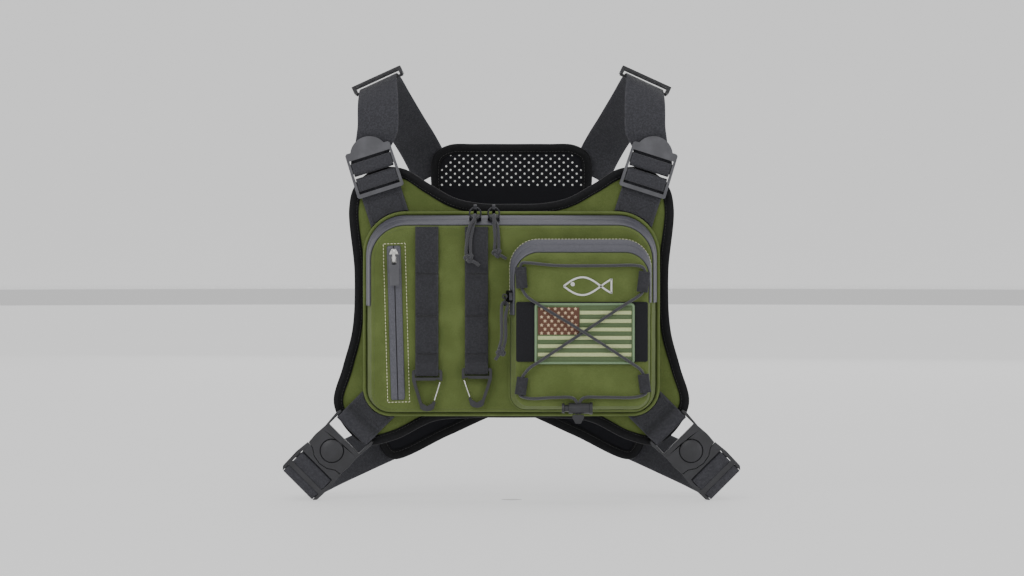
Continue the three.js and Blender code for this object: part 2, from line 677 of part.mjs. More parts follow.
add("cord_end", skin([
  [5.2, 2.4, -6], [5.4, 2.6, -8.5], [3.4, 2.2, -12], [2.6, 1.8, -14],
].map(([w, d, z]) => [[-1, -1], [1, -1], [1, 1], [-1, 1]].map(([u, v]) =>
  new THREE.Vector3(CORD_LOCK.x + u * w, v * d, z)))), BLACK_PLASTIC, cordLock);

// ---------------------------------------------------------------- shoulder hardware
const lockPlace = new THREE.Matrix4()
  .makeRotationY(THREE.MathUtils.degToRad(LOCK.lean)).setPosition(LOCK.x, 0, LOCK.z);
const lockAcross = new THREE.Vector3(1, 0, 0).transformDirection(lockPlace);
const onLock = (up, y) => ({
  at: new THREE.Vector3(0, y, up).applyMatrix4(lockPlace), across: lockAcross,
});
const barBack = tabY - WEB / 2 - GAP; // back of the bars that the webbing passes behind
const barFront = barBack - LOCK.barDepth;
const wrapRadius = LOCK.barDepth / 2 + GAP + WEB / 2;
const wrapY = (barBack + barFront) / 2;
const railFront = barFront - GAP - WEB - 0.5;

/** Stations half way round a bar's edge, bulging up or down. */
function roundBar(edge, way, place) {
  return [-90, -45, 0, 45, 90].map((degrees) => {
    const angle = THREE.MathUtils.degToRad(degrees);
    return place(edge + way * wrapRadius * Math.cos(angle), wrapY - wrapRadius * Math.sin(angle));
  });
}

function ladderLock() {
  const half = LOCK.width / 2;
  const inner = half - LOCK.rail;
  const window = ([low, high]) => rectangle(-inner, inner, low, high);
  const outline = [
    point(-half + 1.5, LOCK.bottom), point(half - 1.5, LOCK.bottom),
    point(half, LOCK.bottom + 1.5), point(half - 0.8, LOCK.top - 1.5),
    point(half - 2.4, LOCK.top), point(-half + 2.4, LOCK.top),
    point(-half + 0.8, LOCK.top - 1.5), point(-half, LOCK.bottom + 1.5),
  ];
  const frame = plate(outline, barBack, railFront,
    [window([LOCK.bottom + LOCK.bar, LOCK.thumbFoot]).reverse()]);
  const bars = [LOCK.lowerBar, LOCK.upperBar].map(([low, high]) =>
    plate(rectangle(-inner - 0.5, inner + 0.5, low, high), barBack, barFront));
  const thumb = plate(Array.from({ length: 17 }, (_, k) => {
    const angle = (Math.PI * k) / 16;
    return point(LOCK.thumb * Math.cos(angle), LOCK.thumbFoot + LOCK.thumb * Math.sin(angle));
  }), railFront + LOCK.thumbPly, railFront);
  return shaped(frame, { join: [...bars, thumb] }).applyMatrix4(lockPlace);
}
addPair("ladder_lock", ladderLock(), GREY_PLASTIC);

const pocketKeepOut = plate(
  rounded(grown(MAIN.base, 2 * GAP + PIPING)), bindingFace + 2, mainRimY);
const wrapFrontY = wrapY - wrapRadius;
const shoulderTab = webbing([
  onLock(-62, tabY), onLock(-45, tabY), onLock(-22, tabY), onLock(-8, tabY),
  ...roundBar(LOCK.lowerBar[1] - 0.5, 1, onLock),
  onLock(-10, wrapFrontY), onLock(LOCK.lowerBar[0] + 0.5, wrapFrontY),
], STRAP_WIDTH, 26);
addPair("shoulder_tab", shaped(shoulderTab, { cut: [pocketKeepOut] }), WEBBING);

const vector = (x, y, z) => new THREE.Vector3(x, y, z);
const backStrapY = TORSO_DEPTH + BACK.thickness + BINDING.thickness + 2 * GAP + WEB / 2;
const shoulderStrap = webbing([
  onLock(LOCK.upperBar[1] - 0.5, wrapFrontY), onLock(7, wrapFrontY),
  ...roundBar(LOCK.upperBar[0] + 0.5, -1, onLock).reverse(),
  onLock(5, tabY), onLock(12, tabY),
  { at: vector(127, tabY - 0.2, 160), across: vector(0.98, 0, -0.17) },
  { at: vector(124.6, tabY - 0.6, 172), across: vector(1, 0, 0) },
  { at: vector(124.4, -6, 188), across: vector(1, 0, -0.04) },
  { at: vector(124.6, 1, 201), across: vector(0.97, 0, -0.2) },
  { at: vector(125, 13, 211.5), across: vector(0.92, 0, -0.38) },
  { at: vector(124.6, 28, 216), across: vector(0.91, 0, -0.42) },
  { at: vector(121.5, 46, 213), across: vector(0.91, 0, -0.42) },
  { at: vector(113, 72, 197.5), across: vector(0.9, 0, -0.44) },
  { at: vector(99.5, 99, 174), across: vector(0.89, 0, -0.46) },
  { at: vector(91, 115.5, 160), across: vector(0.88, 0, -0.47) },
  { at: vector(84.8, backStrapY, 148.8), across: vector(0.88, 0, -0.47) },
  { at: vector(74.5, backStrapY, 128), across: vector(0.88, 0, -0.47) },
], STRAP_WIDTH, 54);
addPair("shoulder_strap", shoulderStrap, WEBBING);

/** Strap adjuster: outer bars over the strap, a middle bar under it. */
function triGlide() {
  const inner = STRAP_WIDTH / 2 + 2.6;
  const outer = inner + 3.4;
  const over = WEB / 2 + GAP;
  const rail = (side) => box(outer - inner, 9, 4.4)
    .translate((side * (outer + inner)) / 2, 0, 0)
    .scale(1, 24 / 9, 1);
  const bar = (y, z) => box(outer * 2 - 2, 4, 2.4).translate(0, y, z);
  return shaped(rail(1), {
    join: [rail(-1), bar(-9.6, over + 2.6), bar(9.6, over + 2.6), bar(0, -over - 1.8),
      box(3, 24, 4.4).translate(outer - 1.5, 0, over + 1.4),
      box(3, 24, 4.4).translate(-outer + 1.5, 0, over + 1.4)],
  });
}
const glideAcross = vector(0.91, 0, -0.415).normalize();
const glideAlong = vector(-0.06, 1, -0.05).projectOnPlane(glideAcross).normalize();
const glidePlace = new THREE.Matrix4().makeBasis(
  glideAcross, glideAlong, new THREE.Vector3().crossVectors(glideAcross, glideAlong))
  .setPosition(124.7, 27.5, 216.1);
addPair("tri_glide", triGlide().applyMatrix4(glidePlace), BLACK_PLASTIC);

// ---------------------------------------------------------------- side buckles
const bucklePlace = new THREE.Matrix4()
  .makeRotationY(THREE.MathUtils.degToRad(BUCKLE.slope)).setPosition(BUCKLE.x, 0, BUCKLE.z);
const buckleAcross = new THREE.Vector3(0, 0, 1).transformDirection(bucklePlace);
const onBuckle = (out, y) => ({
  at: new THREE.Vector3(out, y, 0).applyMatrix4(bucklePlace), across: buckleAcross,
});
const buckleBack = bindingFace - GAP;
const buckleFront = buckleBack - BUCKLE.thickness;
const buckleMiddle = (buckleBack + buckleFront) / 2;
const slotHalf = BUCKLE.slotWidth / 2;
const mouth = BUCKLE.tonguePly / 2 + BUCKLE.fit;

/** Socket: a round body over the tongues, two arms and the bar that the side tab holds. */
function buckleSocket() {
  const half = BUCKLE.width / 2;
  const { innerEnd, waist, barrel: round, innerBar } = BUCKLE;
  const outline = [
    point(innerEnd, -half + 1), point(innerEnd + 4, -half), point(waist, -half + 1.5),
    point(0, -half + 0.6), point(9.6, -half + 1.4),
    ...[-50, -25, 0, 25, 50].map((degrees) => {
      const angle = THREE.MathUtils.degToRad(degrees);
      return point(round * Math.cos(angle), round * 1.18 * Math.sin(angle));
    }),
    point(9.6, half - 1.4), point(0, half - 0.6), point(waist, half - 1.5),
    point(innerEnd + 4, half), point(innerEnd, half - 1),
  ];
  const body = plate(outline, buckleBack, buckleFront);
  const barFrontY = buckleMiddle - LOCK.barDepth / 2;
  const barBackY = buckleMiddle + LOCK.barDepth / 2;
  const cuts = [
    // clear round the inner bar, leaving the arms
    plate(rectangle(innerEnd - 2, waist - 4, -slotHalf, slotHalf), 0, -40),
    // tongue space, open at the outer end
    box(40, 2 * mouth, 2 * (BUCKLE.tongue[1] + BUCKLE.fit))
      .translate(BUCKLE.tongueReach - BUCKLE.fit - 1 + 20, buckleMiddle, 0),
    disc(BUCKLE.flange + GAP, buckleMiddle + mouth, buckleMiddle - mouth),
    disc(BUCKLE.button + BUCKLE.fit, buckleMiddle, buckleFront - 1),
  ];
  const bar = plate(rectangle(...innerBar, -slotHalf - 1, slotHalf + 1), barBackY, barFrontY);
  return shaped(shaped(body, { cut: cuts }), { join: [bar] }).applyMatrix4(bucklePlace);
}
addPair("buckle_socket", buckleSocket(), BLACK_PLASTIC);

/** Domed button with a flange that keeps it in the socket. */
function buckleButton() {
  const { button, dome, flange } = BUCKLE;
  const under = buckleMiddle - mouth + GAP; // underside of the socket's skin
  const profile = [
    [0, under + 1.3], [flange, under + 1.3], [flange, under], [button, under],
    [button, buckleFront - 0.4], [button * 0.8, buckleFront - dome * 0.7],
    [button * 0.45, buckleFront - dome * 0.95], [0, buckleFront - dome],
  ].map(([r, y]) => point(r, y)).reverse();
  return new THREE.LatheGeometry(profile, 18).applyMatrix4(bucklePlace);
}
addPair("buckle_button", buckleButton(), BLACK_PLASTIC);

/** Plug: two tongues, a webbing window with its bars and a cover bar across the front. */
function bucklePlug() {
  const half = BUCKLE.width / 2;
  const { outerEnd, barrel: round, plugBars, cover, tongue, tonguePly, tongueReach } = BUCKLE;
  const start = round + GAP;
  const outline = [
    point(10.2, -half + 0.8), point(24, -half - 0.6), point(outerEnd - 3, -half),
    point(outerEnd, -half + 2.5), point(outerEnd, half - 2.5), point(outerEnd - 3, half),
    point(24, half + 0.6), point(10.2, half - 0.8),
    ...[50, 25, 0, -25, -50].map((degrees) => {
      const angle = THREE.MathUtils.degToRad(degrees);
      return point(start * Math.cos(angle), start * 1.18 * Math.sin(angle));
    }),
  ];
  const webFront = buckleMiddle - LOCK.barDepth / 2 - GAP - WEB;
  const body = plate(outline, buckleBack, buckleFront);
  const window = plate(rectangle(plugBars[0][0] - 3, outerEnd + 3, -slotHalf, slotHalf), 0, -40);
  const barBack2 = buckleMiddle + LOCK.barDepth / 2;
  const barFront2 = buckleMiddle - LOCK.barDepth / 2;
  const bars = plugBars.map(([low, high]) =>
    plate(rectangle(low, high, -slotHalf - 1, slotHalf + 1), barBack2, barFront2));
  const coverBar = plate(
    rectangle(...cover, -slotHalf - 1, slotHalf + 1), webFront - GAP, buckleFront);
  const tongues = [-1, 1].map((side) => box(start + 2 - tongueReach, tonguePly, tongue[1] - tongue[0])
    .translate((start + 2 + tongueReach) / 2, buckleMiddle, (side * (tongue[0] + tongue[1])) / 2));
  return shaped(shaped(body, { cut: [window] }), { join: [...bars, coverBar, ...tongues] })
    .applyMatrix4(bucklePlace);
}
addPair("buckle_plug", bucklePlug(), BLACK_PLASTIC);

const buckleWrap = LOCK.barDepth / 2 + GAP + WEB / 2;
/** Stations half way round a buckle's bar, bulging outwards (1) or inwards (-1). */
function roundBuckleBar(edge, way, fromFront) {
  const angles = fromFront ? [90, 45, 0, -45, -90] : [-90, -45, 0, 45, 90];
  return angles.map((degrees) => {
    const angle = THREE.MathUtils.degToRad(degrees);
    return onBuckle(edge + way * buckleWrap * Math.cos(angle),
      buckleMiddle - buckleWrap * Math.sin(angle));
  });
}

const overBarY = buckleMiddle - buckleWrap;
const sideTab = webbing([
  onBuckle(-72, tabY), onBuckle(-56, tabY), onBuckle(-44, tabY - 0.5),
  onBuckle(-37, overBarY + 1), onBuckle(-31.5, overBarY),
  ...roundBuckleBar(BUCKLE.innerBar[1] - 0.5, 1, true), onBuckle(-31, buckleMiddle + buckleWrap),
], STRAP_WIDTH, 26);
addPair("side_tab", shaped(sideTab, { cut: [pocketKeepOut] }), WEBBING);

const sideStrap = webbing([
  onBuckle(BUCKLE.plugBars[0][0] + 4.4, buckleMiddle + buckleWrap),
  ...roundBuckleBar(BUCKLE.plugBars[0][0] + 0.5, -1, false),
  onBuckle(29, overBarY), onBuckle(38, overBarY),
  ...roundBuckleBar(BUCKLE.plugBars[1][1] - 0.5, 1, true),
  onBuckle(36, buckleMiddle + buckleWrap + 0.6),
  { at: vector(191.5, 6, -153.5), across: vector(-0.68, 0, -0.73) },
  { at: vector(192, 28, -156.5), across: vector(-0.62, 0, -0.78) },
  { at: vector(186, 58, -155), across: vector(-0.55, 0, -0.83) },
  { at: vector(170, 88, -148.2), across: vector(-0.47, 0, -0.88) },
  { at: vector(146, 110, -138), across: vector(-0.42, 0, -0.91) },
  { at: vector(128, backStrapY - 0.2, -130.2), across: vector(-0.407, 0, -0.914) },
  { at: vector(104, backStrapY, -119.5), across: vector(-0.407, 0, -0.914) },
], STRAP_WIDTH, 60);
addPair("side_strap", sideStrap, WEBBING);

// ---------------------------------------------------------------- zipper sliders and pulls
/** A slider's body: local x along the teeth, z away from the tape. */
function sliderBody() {
  const { length, width, height } = SLIDER;
  const hull = [
    point(-length / 2, -width / 2 + 2), point(-length / 2 + 2, -width / 2),
    point(length / 2 - 2, -width / 2), point(length / 2, -width / 2 + 2),
    point(length / 2, width / 2 - 2), point(length / 2 - 2, width / 2),
    point(-length / 2 + 2, width / 2), point(-length / 2, width / 2 - 2),
  ];
  return new THREE.ExtrudeGeometry(new THREE.Shape(hull), { depth: height, bevelEnabled: false });
}

/** A slider with a leaning lug whose eye runs along the teeth. */
function zipSlider(eye) {
  const { height, lug, wire } = SLIDER;
  const foot = height - 1;
  const stem = skin([-lug / 2, lug / 2].map((x) => [
    [-2.6, foot], [2, foot], [eye[0] + 1.6, eye[1]], [eye[0] - 1.6, eye[1]],
  ].map(([y, z]) => new THREE.Vector3(x, y, z))));
  const head = new THREE.CylinderGeometry(wire + 1.1, wire + 1.1, lug, 16).rotateZ(Math.PI / 2)
    .translate(0, ...eye);
  const hole = new THREE.CylinderGeometry(wire * 0.9, wire * 0.9, lug * 3, 12)
    .rotateZ(Math.PI / 2).translate(0, ...eye);
  return shaped(sliderBody(), { join: [stem, head], cut: [hole] });
}

const shoulderMiddle = (levels, share) => ({
  y: THREE.MathUtils.lerp(levels[1].y, levels[2].y, share),
  top: THREE.MathUtils.lerp(levels[1].box.top, levels[2].box.top, share),
  left: THREE.MathUtils.lerp(levels[1].box.left, levels[2].box.left, share),
});

// The main sliders stand on the tape over the pocket's top edge.
const mainSeat = shoulderMiddle(mainLevels, 0.55);
const mainSlope = Math.atan2(
  mainLevels[1].box.top - mainLevels[2].box.top, mainLevels[1].y - mainLevels[2].y);
const seatLift = 2 * GAP + ZIP_TAPE;
const MAIN_EYE = [-4.5, 14.6];
const mainSeatPlace = (x) => new THREE.Matrix4().makeRotationX(mainSlope)
  .setPosition(x, mainSeat.y - seatLift * Math.sin(mainSlope),
    mainSeat.top + seatLift * Math.cos(mainSlope));
const MAIN_SLIDERS = { left: -33.5, right: -16.4 };

/** A pull cord: two strands from a ring's foot down to a knot with a tail. */
function pullCord(route, knot, knotRadius) {
  const lump = new THREE.SphereGeometry(1, 8, 6).scale(...knotRadius).translate(...knot);
  return shaped(cord(route, PULL_CORD, 30), { join: [lump] });
}

for (const [side, x] of Object.entries(MAIN_SLIDERS)) {
  const place = mainSeatPlace(x);
  add(`main_slider_${side}`, zipSlider(MAIN_EYE).applyMatrix4(place), BLACK_METAL);
  const eye = new THREE.Vector3(0, ...MAIN_EYE).applyMatrix4(place);
  const ringZ = eye.z - RING.main;
  add(`main_ring_${side}`,
    wireRing(RING.main, SLIDER.wire).translate(x, eye.y, ringZ), BLACK_METAL);
  const foot = ringZ - RING.main;
  // The left pull hangs over a load webbing, the right one over the bare face.
  const lie = side === "left" ? { x: -39.3, y: mainFaceY - 7.4, knotZ: 52.6, tail: [9.5, -7] }
    : { x: -13.4, y: mainFaceY - 3.4, knotZ: 57.2, tail: [8.6, -5.4] };
  const apart = PULL_CORD / 2 + 0.1;
  const bight = SLIDER.wire / 2 + GAP + PULL_CORD / 2 + 0.5;
  const swing = lie.x - x;
  const overEdge = Math.min((eye.y + lie.y) / 2 - 0.4,
    mainFaceY - PULL_CORD / 2 - PULL_CLEAR);
  const route = [
    [lie.x + apart, lie.y, lie.knotZ + 2],
    [lie.x + apart, lie.y, foot - 19],
    [x + swing * 0.6 + apart, overEdge, foot - 6.6],
    [x + swing * 0.2 + apart * 0.6, eye.y + bight * 0.8, foot - 2.4],
    [x + swing * 0.1 + apart * 0.3, eye.y + bight, foot + 0.3],
    [x + swing * 0.05, eye.y + bight * 0.7, foot + bight * 0.75],
    [x + swing * 0.05, eye.y, foot + SLIDER.wire / 2 + bight],
    [x + swing * 0.05, eye.y - bight * 0.7, foot + bight * 0.75],
    [x + swing * 0.1, eye.y - bight, foot + 0.3],
    [x + swing * 0.6 - apart * 0.8, (eye.y + lie.y) / 2 - bight * 0.8, foot - 6],
    [lie.x - apart, lie.y - 0.4, foot - 19],
    [lie.x - apart, lie.y, lie.knotZ],
    [lie.x + lie.tail[0] * 0.5, lie.y - 1.4, lie.knotZ + lie.tail[1] * 0.5],
    [lie.x + lie.tail[0], lie.y - 0.4, lie.knotZ + lie.tail[1]],
  ];
  add(`main_pull_${side}`,
    pullCord(route, [lie.x, lie.y - 0.9, lie.knotZ], [5, 3.6, 5]), CORD);
}

// The front pocket's slider stands on the tape down its left side, its ring's eye along y.
const frontSeat = shoulderMiddle(frontLevels, 0.5);
const frontSlope = Math.atan2(
  frontLevels[2].box.left - frontLevels[1].box.left, frontLevels[1].y - frontLevels[2].y);
const away = new THREE.Vector3(-Math.cos(frontSlope), -Math.sin(frontSlope), 0);
const FRONT_SLIDER_Z = 17.5;
const frontPlace = new THREE.Matrix4().makeBasis(
  new THREE.Vector3(0, 0, 1), new THREE.Vector3(away.y, -away.x, 0), away)
  .setPosition(frontSeat.left + away.x * seatLift, frontSeat.y + away.y * seatLift,
    FRONT_SLIDER_Z);
const frontEye = new THREE.Vector3(0, 0, SLIDER.height + 2.8).applyMatrix4(frontPlace);

function frontSlider() {
  const { height, lug, wire } = SLIDER;
  const stem = box(lug, lug, height + 1.4).translate(0, 0, height)
    .applyMatrix4(frontPlace);
  const head = disc(wire + 1, lug / 2, -lug / 2, 16).translate(...frontEye);
  const hole = disc(wire * 0.9, lug * 2, -lug * 2, 12).translate(...frontEye);
  return shaped(sliderBody().applyMatrix4(frontPlace), { join: [stem, head], cut: [hole] });
}
add("front_slider", frontSlider(), BLACK_METAL);
const frontRingZ = frontEye.z - RING.front;
add("front_ring", wireRing(RING.front, SLIDER.wire, 16).rotateZ(Math.PI / 2)
  .translate(frontEye.x, frontEye.y, frontRingZ), BLACK_METAL);

const frontFoot = frontRingZ - RING.front;
const frontBight = SLIDER.wire / 2 + GAP + PULL_CORD / 2;
const frontLie = { x: frontEye.x - 1.2, knot: [frontEye.x - 3.4, frontEye.y - 0.4, -33.5] };
add("front_pull", pullCord([
  [frontLie.knot[0] + 1.8, frontEye.y, frontLie.knot[2] + 2.6],
  [frontLie.x + 1.8, frontEye.y, -22],
  [frontLie.x + 2, frontEye.y, frontFoot - 9],
  [frontEye.x + frontBight, frontEye.y, frontFoot + 0.3],
  [frontEye.x + frontBight * 0.7, frontEye.y, frontFoot + frontBight * 0.75],
  [frontEye.x, frontEye.y, frontFoot + SLIDER.wire / 2 + frontBight],
  [frontEye.x - frontBight * 0.7, frontEye.y, frontFoot + frontBight * 0.75],
  [frontEye.x - frontBight, frontEye.y, frontFoot + 0.3],
  [frontLie.x - 1.8, frontEye.y, frontFoot - 9],
  [frontLie.x - 1.8, frontEye.y, -22],
  [frontLie.knot[0] - 1.8, frontEye.y, frontLie.knot[2] + 2.6],
  [frontLie.knot[0] - 2.2, frontEye.y - 0.6, frontLie.knot[2] - 2.4],
  [frontLie.knot[0] - 5.4, frontEye.y - 0.8, frontLie.knot[2] - 7.5],
], frontLie.knot, [4.8, 4, 5]), CORD);

// ---------------------------------------------------------------- slit pocket's zipper
const slit = new THREE.Group();
slit.position.set(SLIT.x, mainFaceY - GAP, SLIT.z);
slit.rotation.y = THREE.MathUtils.degToRad(-SLIT.lean);
rig.add(slit);
const slitHalf = SLIT.width / 2;
add("slit_zipper_tape", plate(rounded({
  left: -slitHalf, right: slitHalf, bottom: -SLIT.length / 2, top: SLIT.length / 2,
  topRadius: 3, bottomRadius: 3,
}, 3), 0, -SLIT.tape), COATED, slit);

/** Slider with an arched bridge over its length, and the tab that hangs from the bridge. */
function slitSliderAndPull() {
  const { width, height } = SLIDER;
  const foot = -SLIT.tape - GAP;
  const top = foot - height;
  const eye = { y: top - 1.7, z: SLIT.pullTop - SLIT.z };
  const body = plate([
    point(-width / 2, eye.z - 7), point(width / 2, eye.z - 7), point(width / 2, eye.z + 2),
    point(width / 2 - 2, eye.z + 6), point(-width / 2 + 2, eye.z + 6), point(-width / 2, eye.z + 2),
  ], foot, top);
  const bridge = profileAcross([
    [eye.z + 5, top + 0.5], [eye.z + 5, top - 3], [eye.z + 3.6, top - 4.4],
    [eye.z - 5.4, top - 4.4], [eye.z - 6.6, top - 3], [eye.z - 6.6, top + 0.5],
    [eye.z - 4.6, top + 0.5], [eye.z - 4.6, top - 3], [eye.z + 3, top - 3], [eye.z + 3, top + 0.5],
  ], 2.6);
  const ply = 1.6;
  const tab = plate([
    point(-4.2, eye.z - 28), point(4.2, eye.z - 28), point(4.9, eye.z - 10),
    point(4.9, eye.z - 1), point(3.6, eye.z + 1), point(-3.6, eye.z + 1),
    point(-4.9, eye.z - 1), point(-4.9, eye.z - 10),
  ], eye.y + ply / 2, eye.y - ply / 2,
  [rectangle(-2.1, 2.1, eye.z - 8.6, eye.z - 1).reverse()]);
  return { slider: shaped(body, { join: [bridge] }), tab };
}
const slitParts = slitSliderAndPull();
add("slit_slider", slitParts.slider, STEEL, slit);
add("slit_pull", slitParts.tab, GREY_PLASTIC, slit);

export default rig;
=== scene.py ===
"""A chest rig for fishing, dressed in cloth, webbing, cord and moulded plastic.

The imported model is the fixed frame: +Z is up, -Y is the front of the rig and +Y the
wearer's side. Soft goods are surfaces worked out with numpy on a grid of two parameters;
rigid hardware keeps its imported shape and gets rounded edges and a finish.
"""
from __future__ import annotations

import logging
from dataclasses import dataclass, field
from enum import Enum
from typing import Callable

import bpy
import numpy as np
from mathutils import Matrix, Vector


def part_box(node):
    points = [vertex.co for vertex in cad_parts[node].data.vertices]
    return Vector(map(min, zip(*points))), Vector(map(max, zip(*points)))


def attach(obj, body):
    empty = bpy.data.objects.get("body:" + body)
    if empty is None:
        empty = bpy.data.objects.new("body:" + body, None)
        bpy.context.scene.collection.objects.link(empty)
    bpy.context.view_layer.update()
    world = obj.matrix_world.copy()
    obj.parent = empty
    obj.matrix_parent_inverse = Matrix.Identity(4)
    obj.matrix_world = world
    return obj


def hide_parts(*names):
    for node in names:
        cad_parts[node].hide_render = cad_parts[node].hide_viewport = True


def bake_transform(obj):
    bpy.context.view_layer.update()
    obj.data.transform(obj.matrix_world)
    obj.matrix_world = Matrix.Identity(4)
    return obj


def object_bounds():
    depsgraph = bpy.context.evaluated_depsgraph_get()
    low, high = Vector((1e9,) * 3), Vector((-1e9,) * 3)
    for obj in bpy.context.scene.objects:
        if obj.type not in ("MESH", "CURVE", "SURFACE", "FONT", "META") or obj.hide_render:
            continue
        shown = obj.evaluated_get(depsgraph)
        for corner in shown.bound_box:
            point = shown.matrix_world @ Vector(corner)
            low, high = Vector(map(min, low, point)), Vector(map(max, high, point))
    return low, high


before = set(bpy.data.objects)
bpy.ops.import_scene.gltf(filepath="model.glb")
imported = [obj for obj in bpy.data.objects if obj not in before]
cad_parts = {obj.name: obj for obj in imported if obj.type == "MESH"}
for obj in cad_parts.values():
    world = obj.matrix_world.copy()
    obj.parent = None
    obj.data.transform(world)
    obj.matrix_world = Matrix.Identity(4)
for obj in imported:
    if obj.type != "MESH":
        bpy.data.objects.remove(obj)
CAD_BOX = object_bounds()

LOG = logging.getLogger("chest_rig")
MM = 0.001
GAP = 0.3 * MM
WEB = 1.6 * MM
STRAP_WIDTH = 38 * MM
Array = np.ndarray


class Body(Enum):
    """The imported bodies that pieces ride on."""

    VEST = "vest"
    MAIN_PULL_LEFT = "main_pull_left"
    MAIN_PULL_RIGHT = "main_pull_right"
    FRONT_PULL = "front_pull"
    GATE_LEFT = "gate_left"
    GATE_RIGHT = "gate_right"


# ------------------------------------------------------------------ shader expressions
class Val:
    """A node socket whose operators add Math nodes to its material."""

    def __init__(self, tree: bpy.types.NodeTree, socket: bpy.types.NodeSocket) -> None:
        """Wraps one output socket of a node tree."""
        self.tree = tree
        self.socket = socket

    def math(self, operation: str, *others: "Val | float", swap: bool = False) -> "Val":
        """One Math node.

        Args:
            operation: the Math node's operation.
            others: its further inputs.
            swap: whether this value is the second input.
        Returns:
            The node's result.
        """
        node = self.tree.nodes.new("ShaderNodeMath")
        node.operation = operation
        values = [*others, self] if swap else [self, *others]
        for place, value in zip(node.inputs, values):
            if isinstance(value, Val):
                self.tree.links.new(value.socket, place)
            else:
                place.default_value = value
        return Val(self.tree, node.outputs[0])

    def __add__(self, other: "Val | float") -> "Val":
        """This plus other."""
        return self.math("ADD", other)

    __radd__ = __add__

    def __mul__(self, other: "Val | float") -> "Val":
        """This times other."""
        return self.math("MULTIPLY", other)

    __rmul__ = __mul__

    def __sub__(self, other: "Val | float") -> "Val":
        """This minus other."""
        return self.math("SUBTRACT", other)

    def __rsub__(self, other: float) -> "Val":
        """A number minus this."""
        return self.math("SUBTRACT", other, swap=True)

    def __truediv__(self, other: "Val | float") -> "Val":
        """This divided by other."""
        return self.math("DIVIDE", other)

    def __abs__(self) -> "Val":
        """The size of this value."""
        return self.math("ABSOLUTE")

    def __gt__(self, other: "Val | float") -> "Val":
        """1 where this is greater than other, else 0."""
        return self.math("GREATER_THAN", other)

    def __lt__(self, other: "Val | float") -> "Val":
        """1 where this is less than other, else 0."""
        return self.math("LESS_THAN", other)

    def wave(self, pitch: float, phase: float = 0.0) -> "Val":
        """A sine of this length, from -1 to 1, with the given pitch in metres."""
        return (self * (2 * np.pi / pitch) + phase).math("SINE")

    def part(self, pitch: float) -> "Val":
        """How far this length is through its cell of the given pitch, from 0 to 1."""
        return (self / pitch).math("FRACT")

    def ramp(self, low: float, high: float) -> "Val":
        """A smooth step from 0 at low to 1 at high."""
        node = self.tree.nodes.new("ShaderNodeMapRange")
        node.interpolation_type = "SMOOTHSTEP"
        self.tree.links.new(self.socket, node.inputs[0])
        node.inputs[1].default_value = low
        node.inputs[2].default_value = high
        return Val(self.tree, node.outputs[0])


Feed = "Val | float | tuple[float, ...]"


class Shade:
    """One material under construction."""

    def __init__(self, name: str) -> None:
        """Starts a material with a Principled shader."""
        self.material = bpy.data.materials.new(name)
        self.material.use_nodes = True
        self.tree = self.material.node_tree
        self.shader = self.tree.nodes["Principled BSDF"]

    def node(self, kind: str, settings: dict[str, object], feeds: dict[str | int, Feed],
             out: str | int = 0) -> Val:
        """Any node.

        Args:
            kind: the node's type.
            settings: attributes set before the sockets.
            feeds: a value or link for each named socket.
            out: the output that is wanted.
        Returns:
            That output.
        """
        node = self.tree.nodes.new(kind)
        for key, value in settings.items():
            setattr(node, key, value)
        for key, value in feeds.items():
            self.feed(node.inputs[key], value)
        return Val(self.tree, node.outputs[out])

    def feed(self, socket: bpy.types.NodeSocket, value: Feed) -> None:
        """Links a value to a socket, or sets it."""
        if isinstance(value, Val):
            self.tree.links.new(value.socket, socket)
        else:
            socket.default_value = value

    def split(self, vector: Val) -> tuple[Val, Val, Val]:
        """A vector's three parts."""
        node = self.tree.nodes.new("ShaderNodeSeparateXYZ")
        self.tree.links.new(vector.socket, node.inputs[0])
        return tuple(Val(self.tree, out) for out in node.outputs)

    def place(self) -> Val:
        """The point in the rig's frame."""
        return self.node("ShaderNodeTexCoord", {}, {}, "Object")

    def cloth(self) -> tuple[Val, Val]:
        """The piece's own cloth coordinates in metres: across and along."""
        across, along, _ = self.split(self.node("ShaderNodeUVMap", {"uv_map": "cloth"}, {}))
        return across, along

    def noise(self, scale: float, detail: float = 3.0, vector: Val | None = None) -> Val:
        """Noise from 0 to 1; scale is in cells per metre."""
        return self.node("ShaderNodeTexNoise", {}, {
            "Vector": vector or self.place(), "Scale": scale, "Detail": detail}, "Fac")

    def mix(self, factor: Feed, first: Feed, second: Feed) -> Val:
        """Two colours mixed."""
        return self.node("ShaderNodeMix", {"data_type": "RGBA"},
                         {0: factor, 6: rgba(first), 7: rgba(second)}, 2)

    def bump(self, height: Val, distance: float, strength: float = 1.0,
             under: Val | None = None) -> Val:
        """A bump of a height from 0 to 1 that is distance metres tall."""
        feeds = {"Height": height, "Distance": distance, "Strength": strength}
        if under is not None:
            feeds["Normal"] = under
        return self.node("ShaderNodeBump", {}, feeds)

    def finish(self, feeds: dict[str, Feed]) -> bpy.types.Material:
        """Sets the shader's sockets and hands the material over."""
        for key, value in feeds.items():
            self.feed(self.shader.inputs[key], value)
        return self.material


def rgba(value: Feed) -> Feed:
    """A colour with its alpha, or a link as it is."""
    return (*value, 1.0) if isinstance(value, tuple) and len(value) == 3 else value


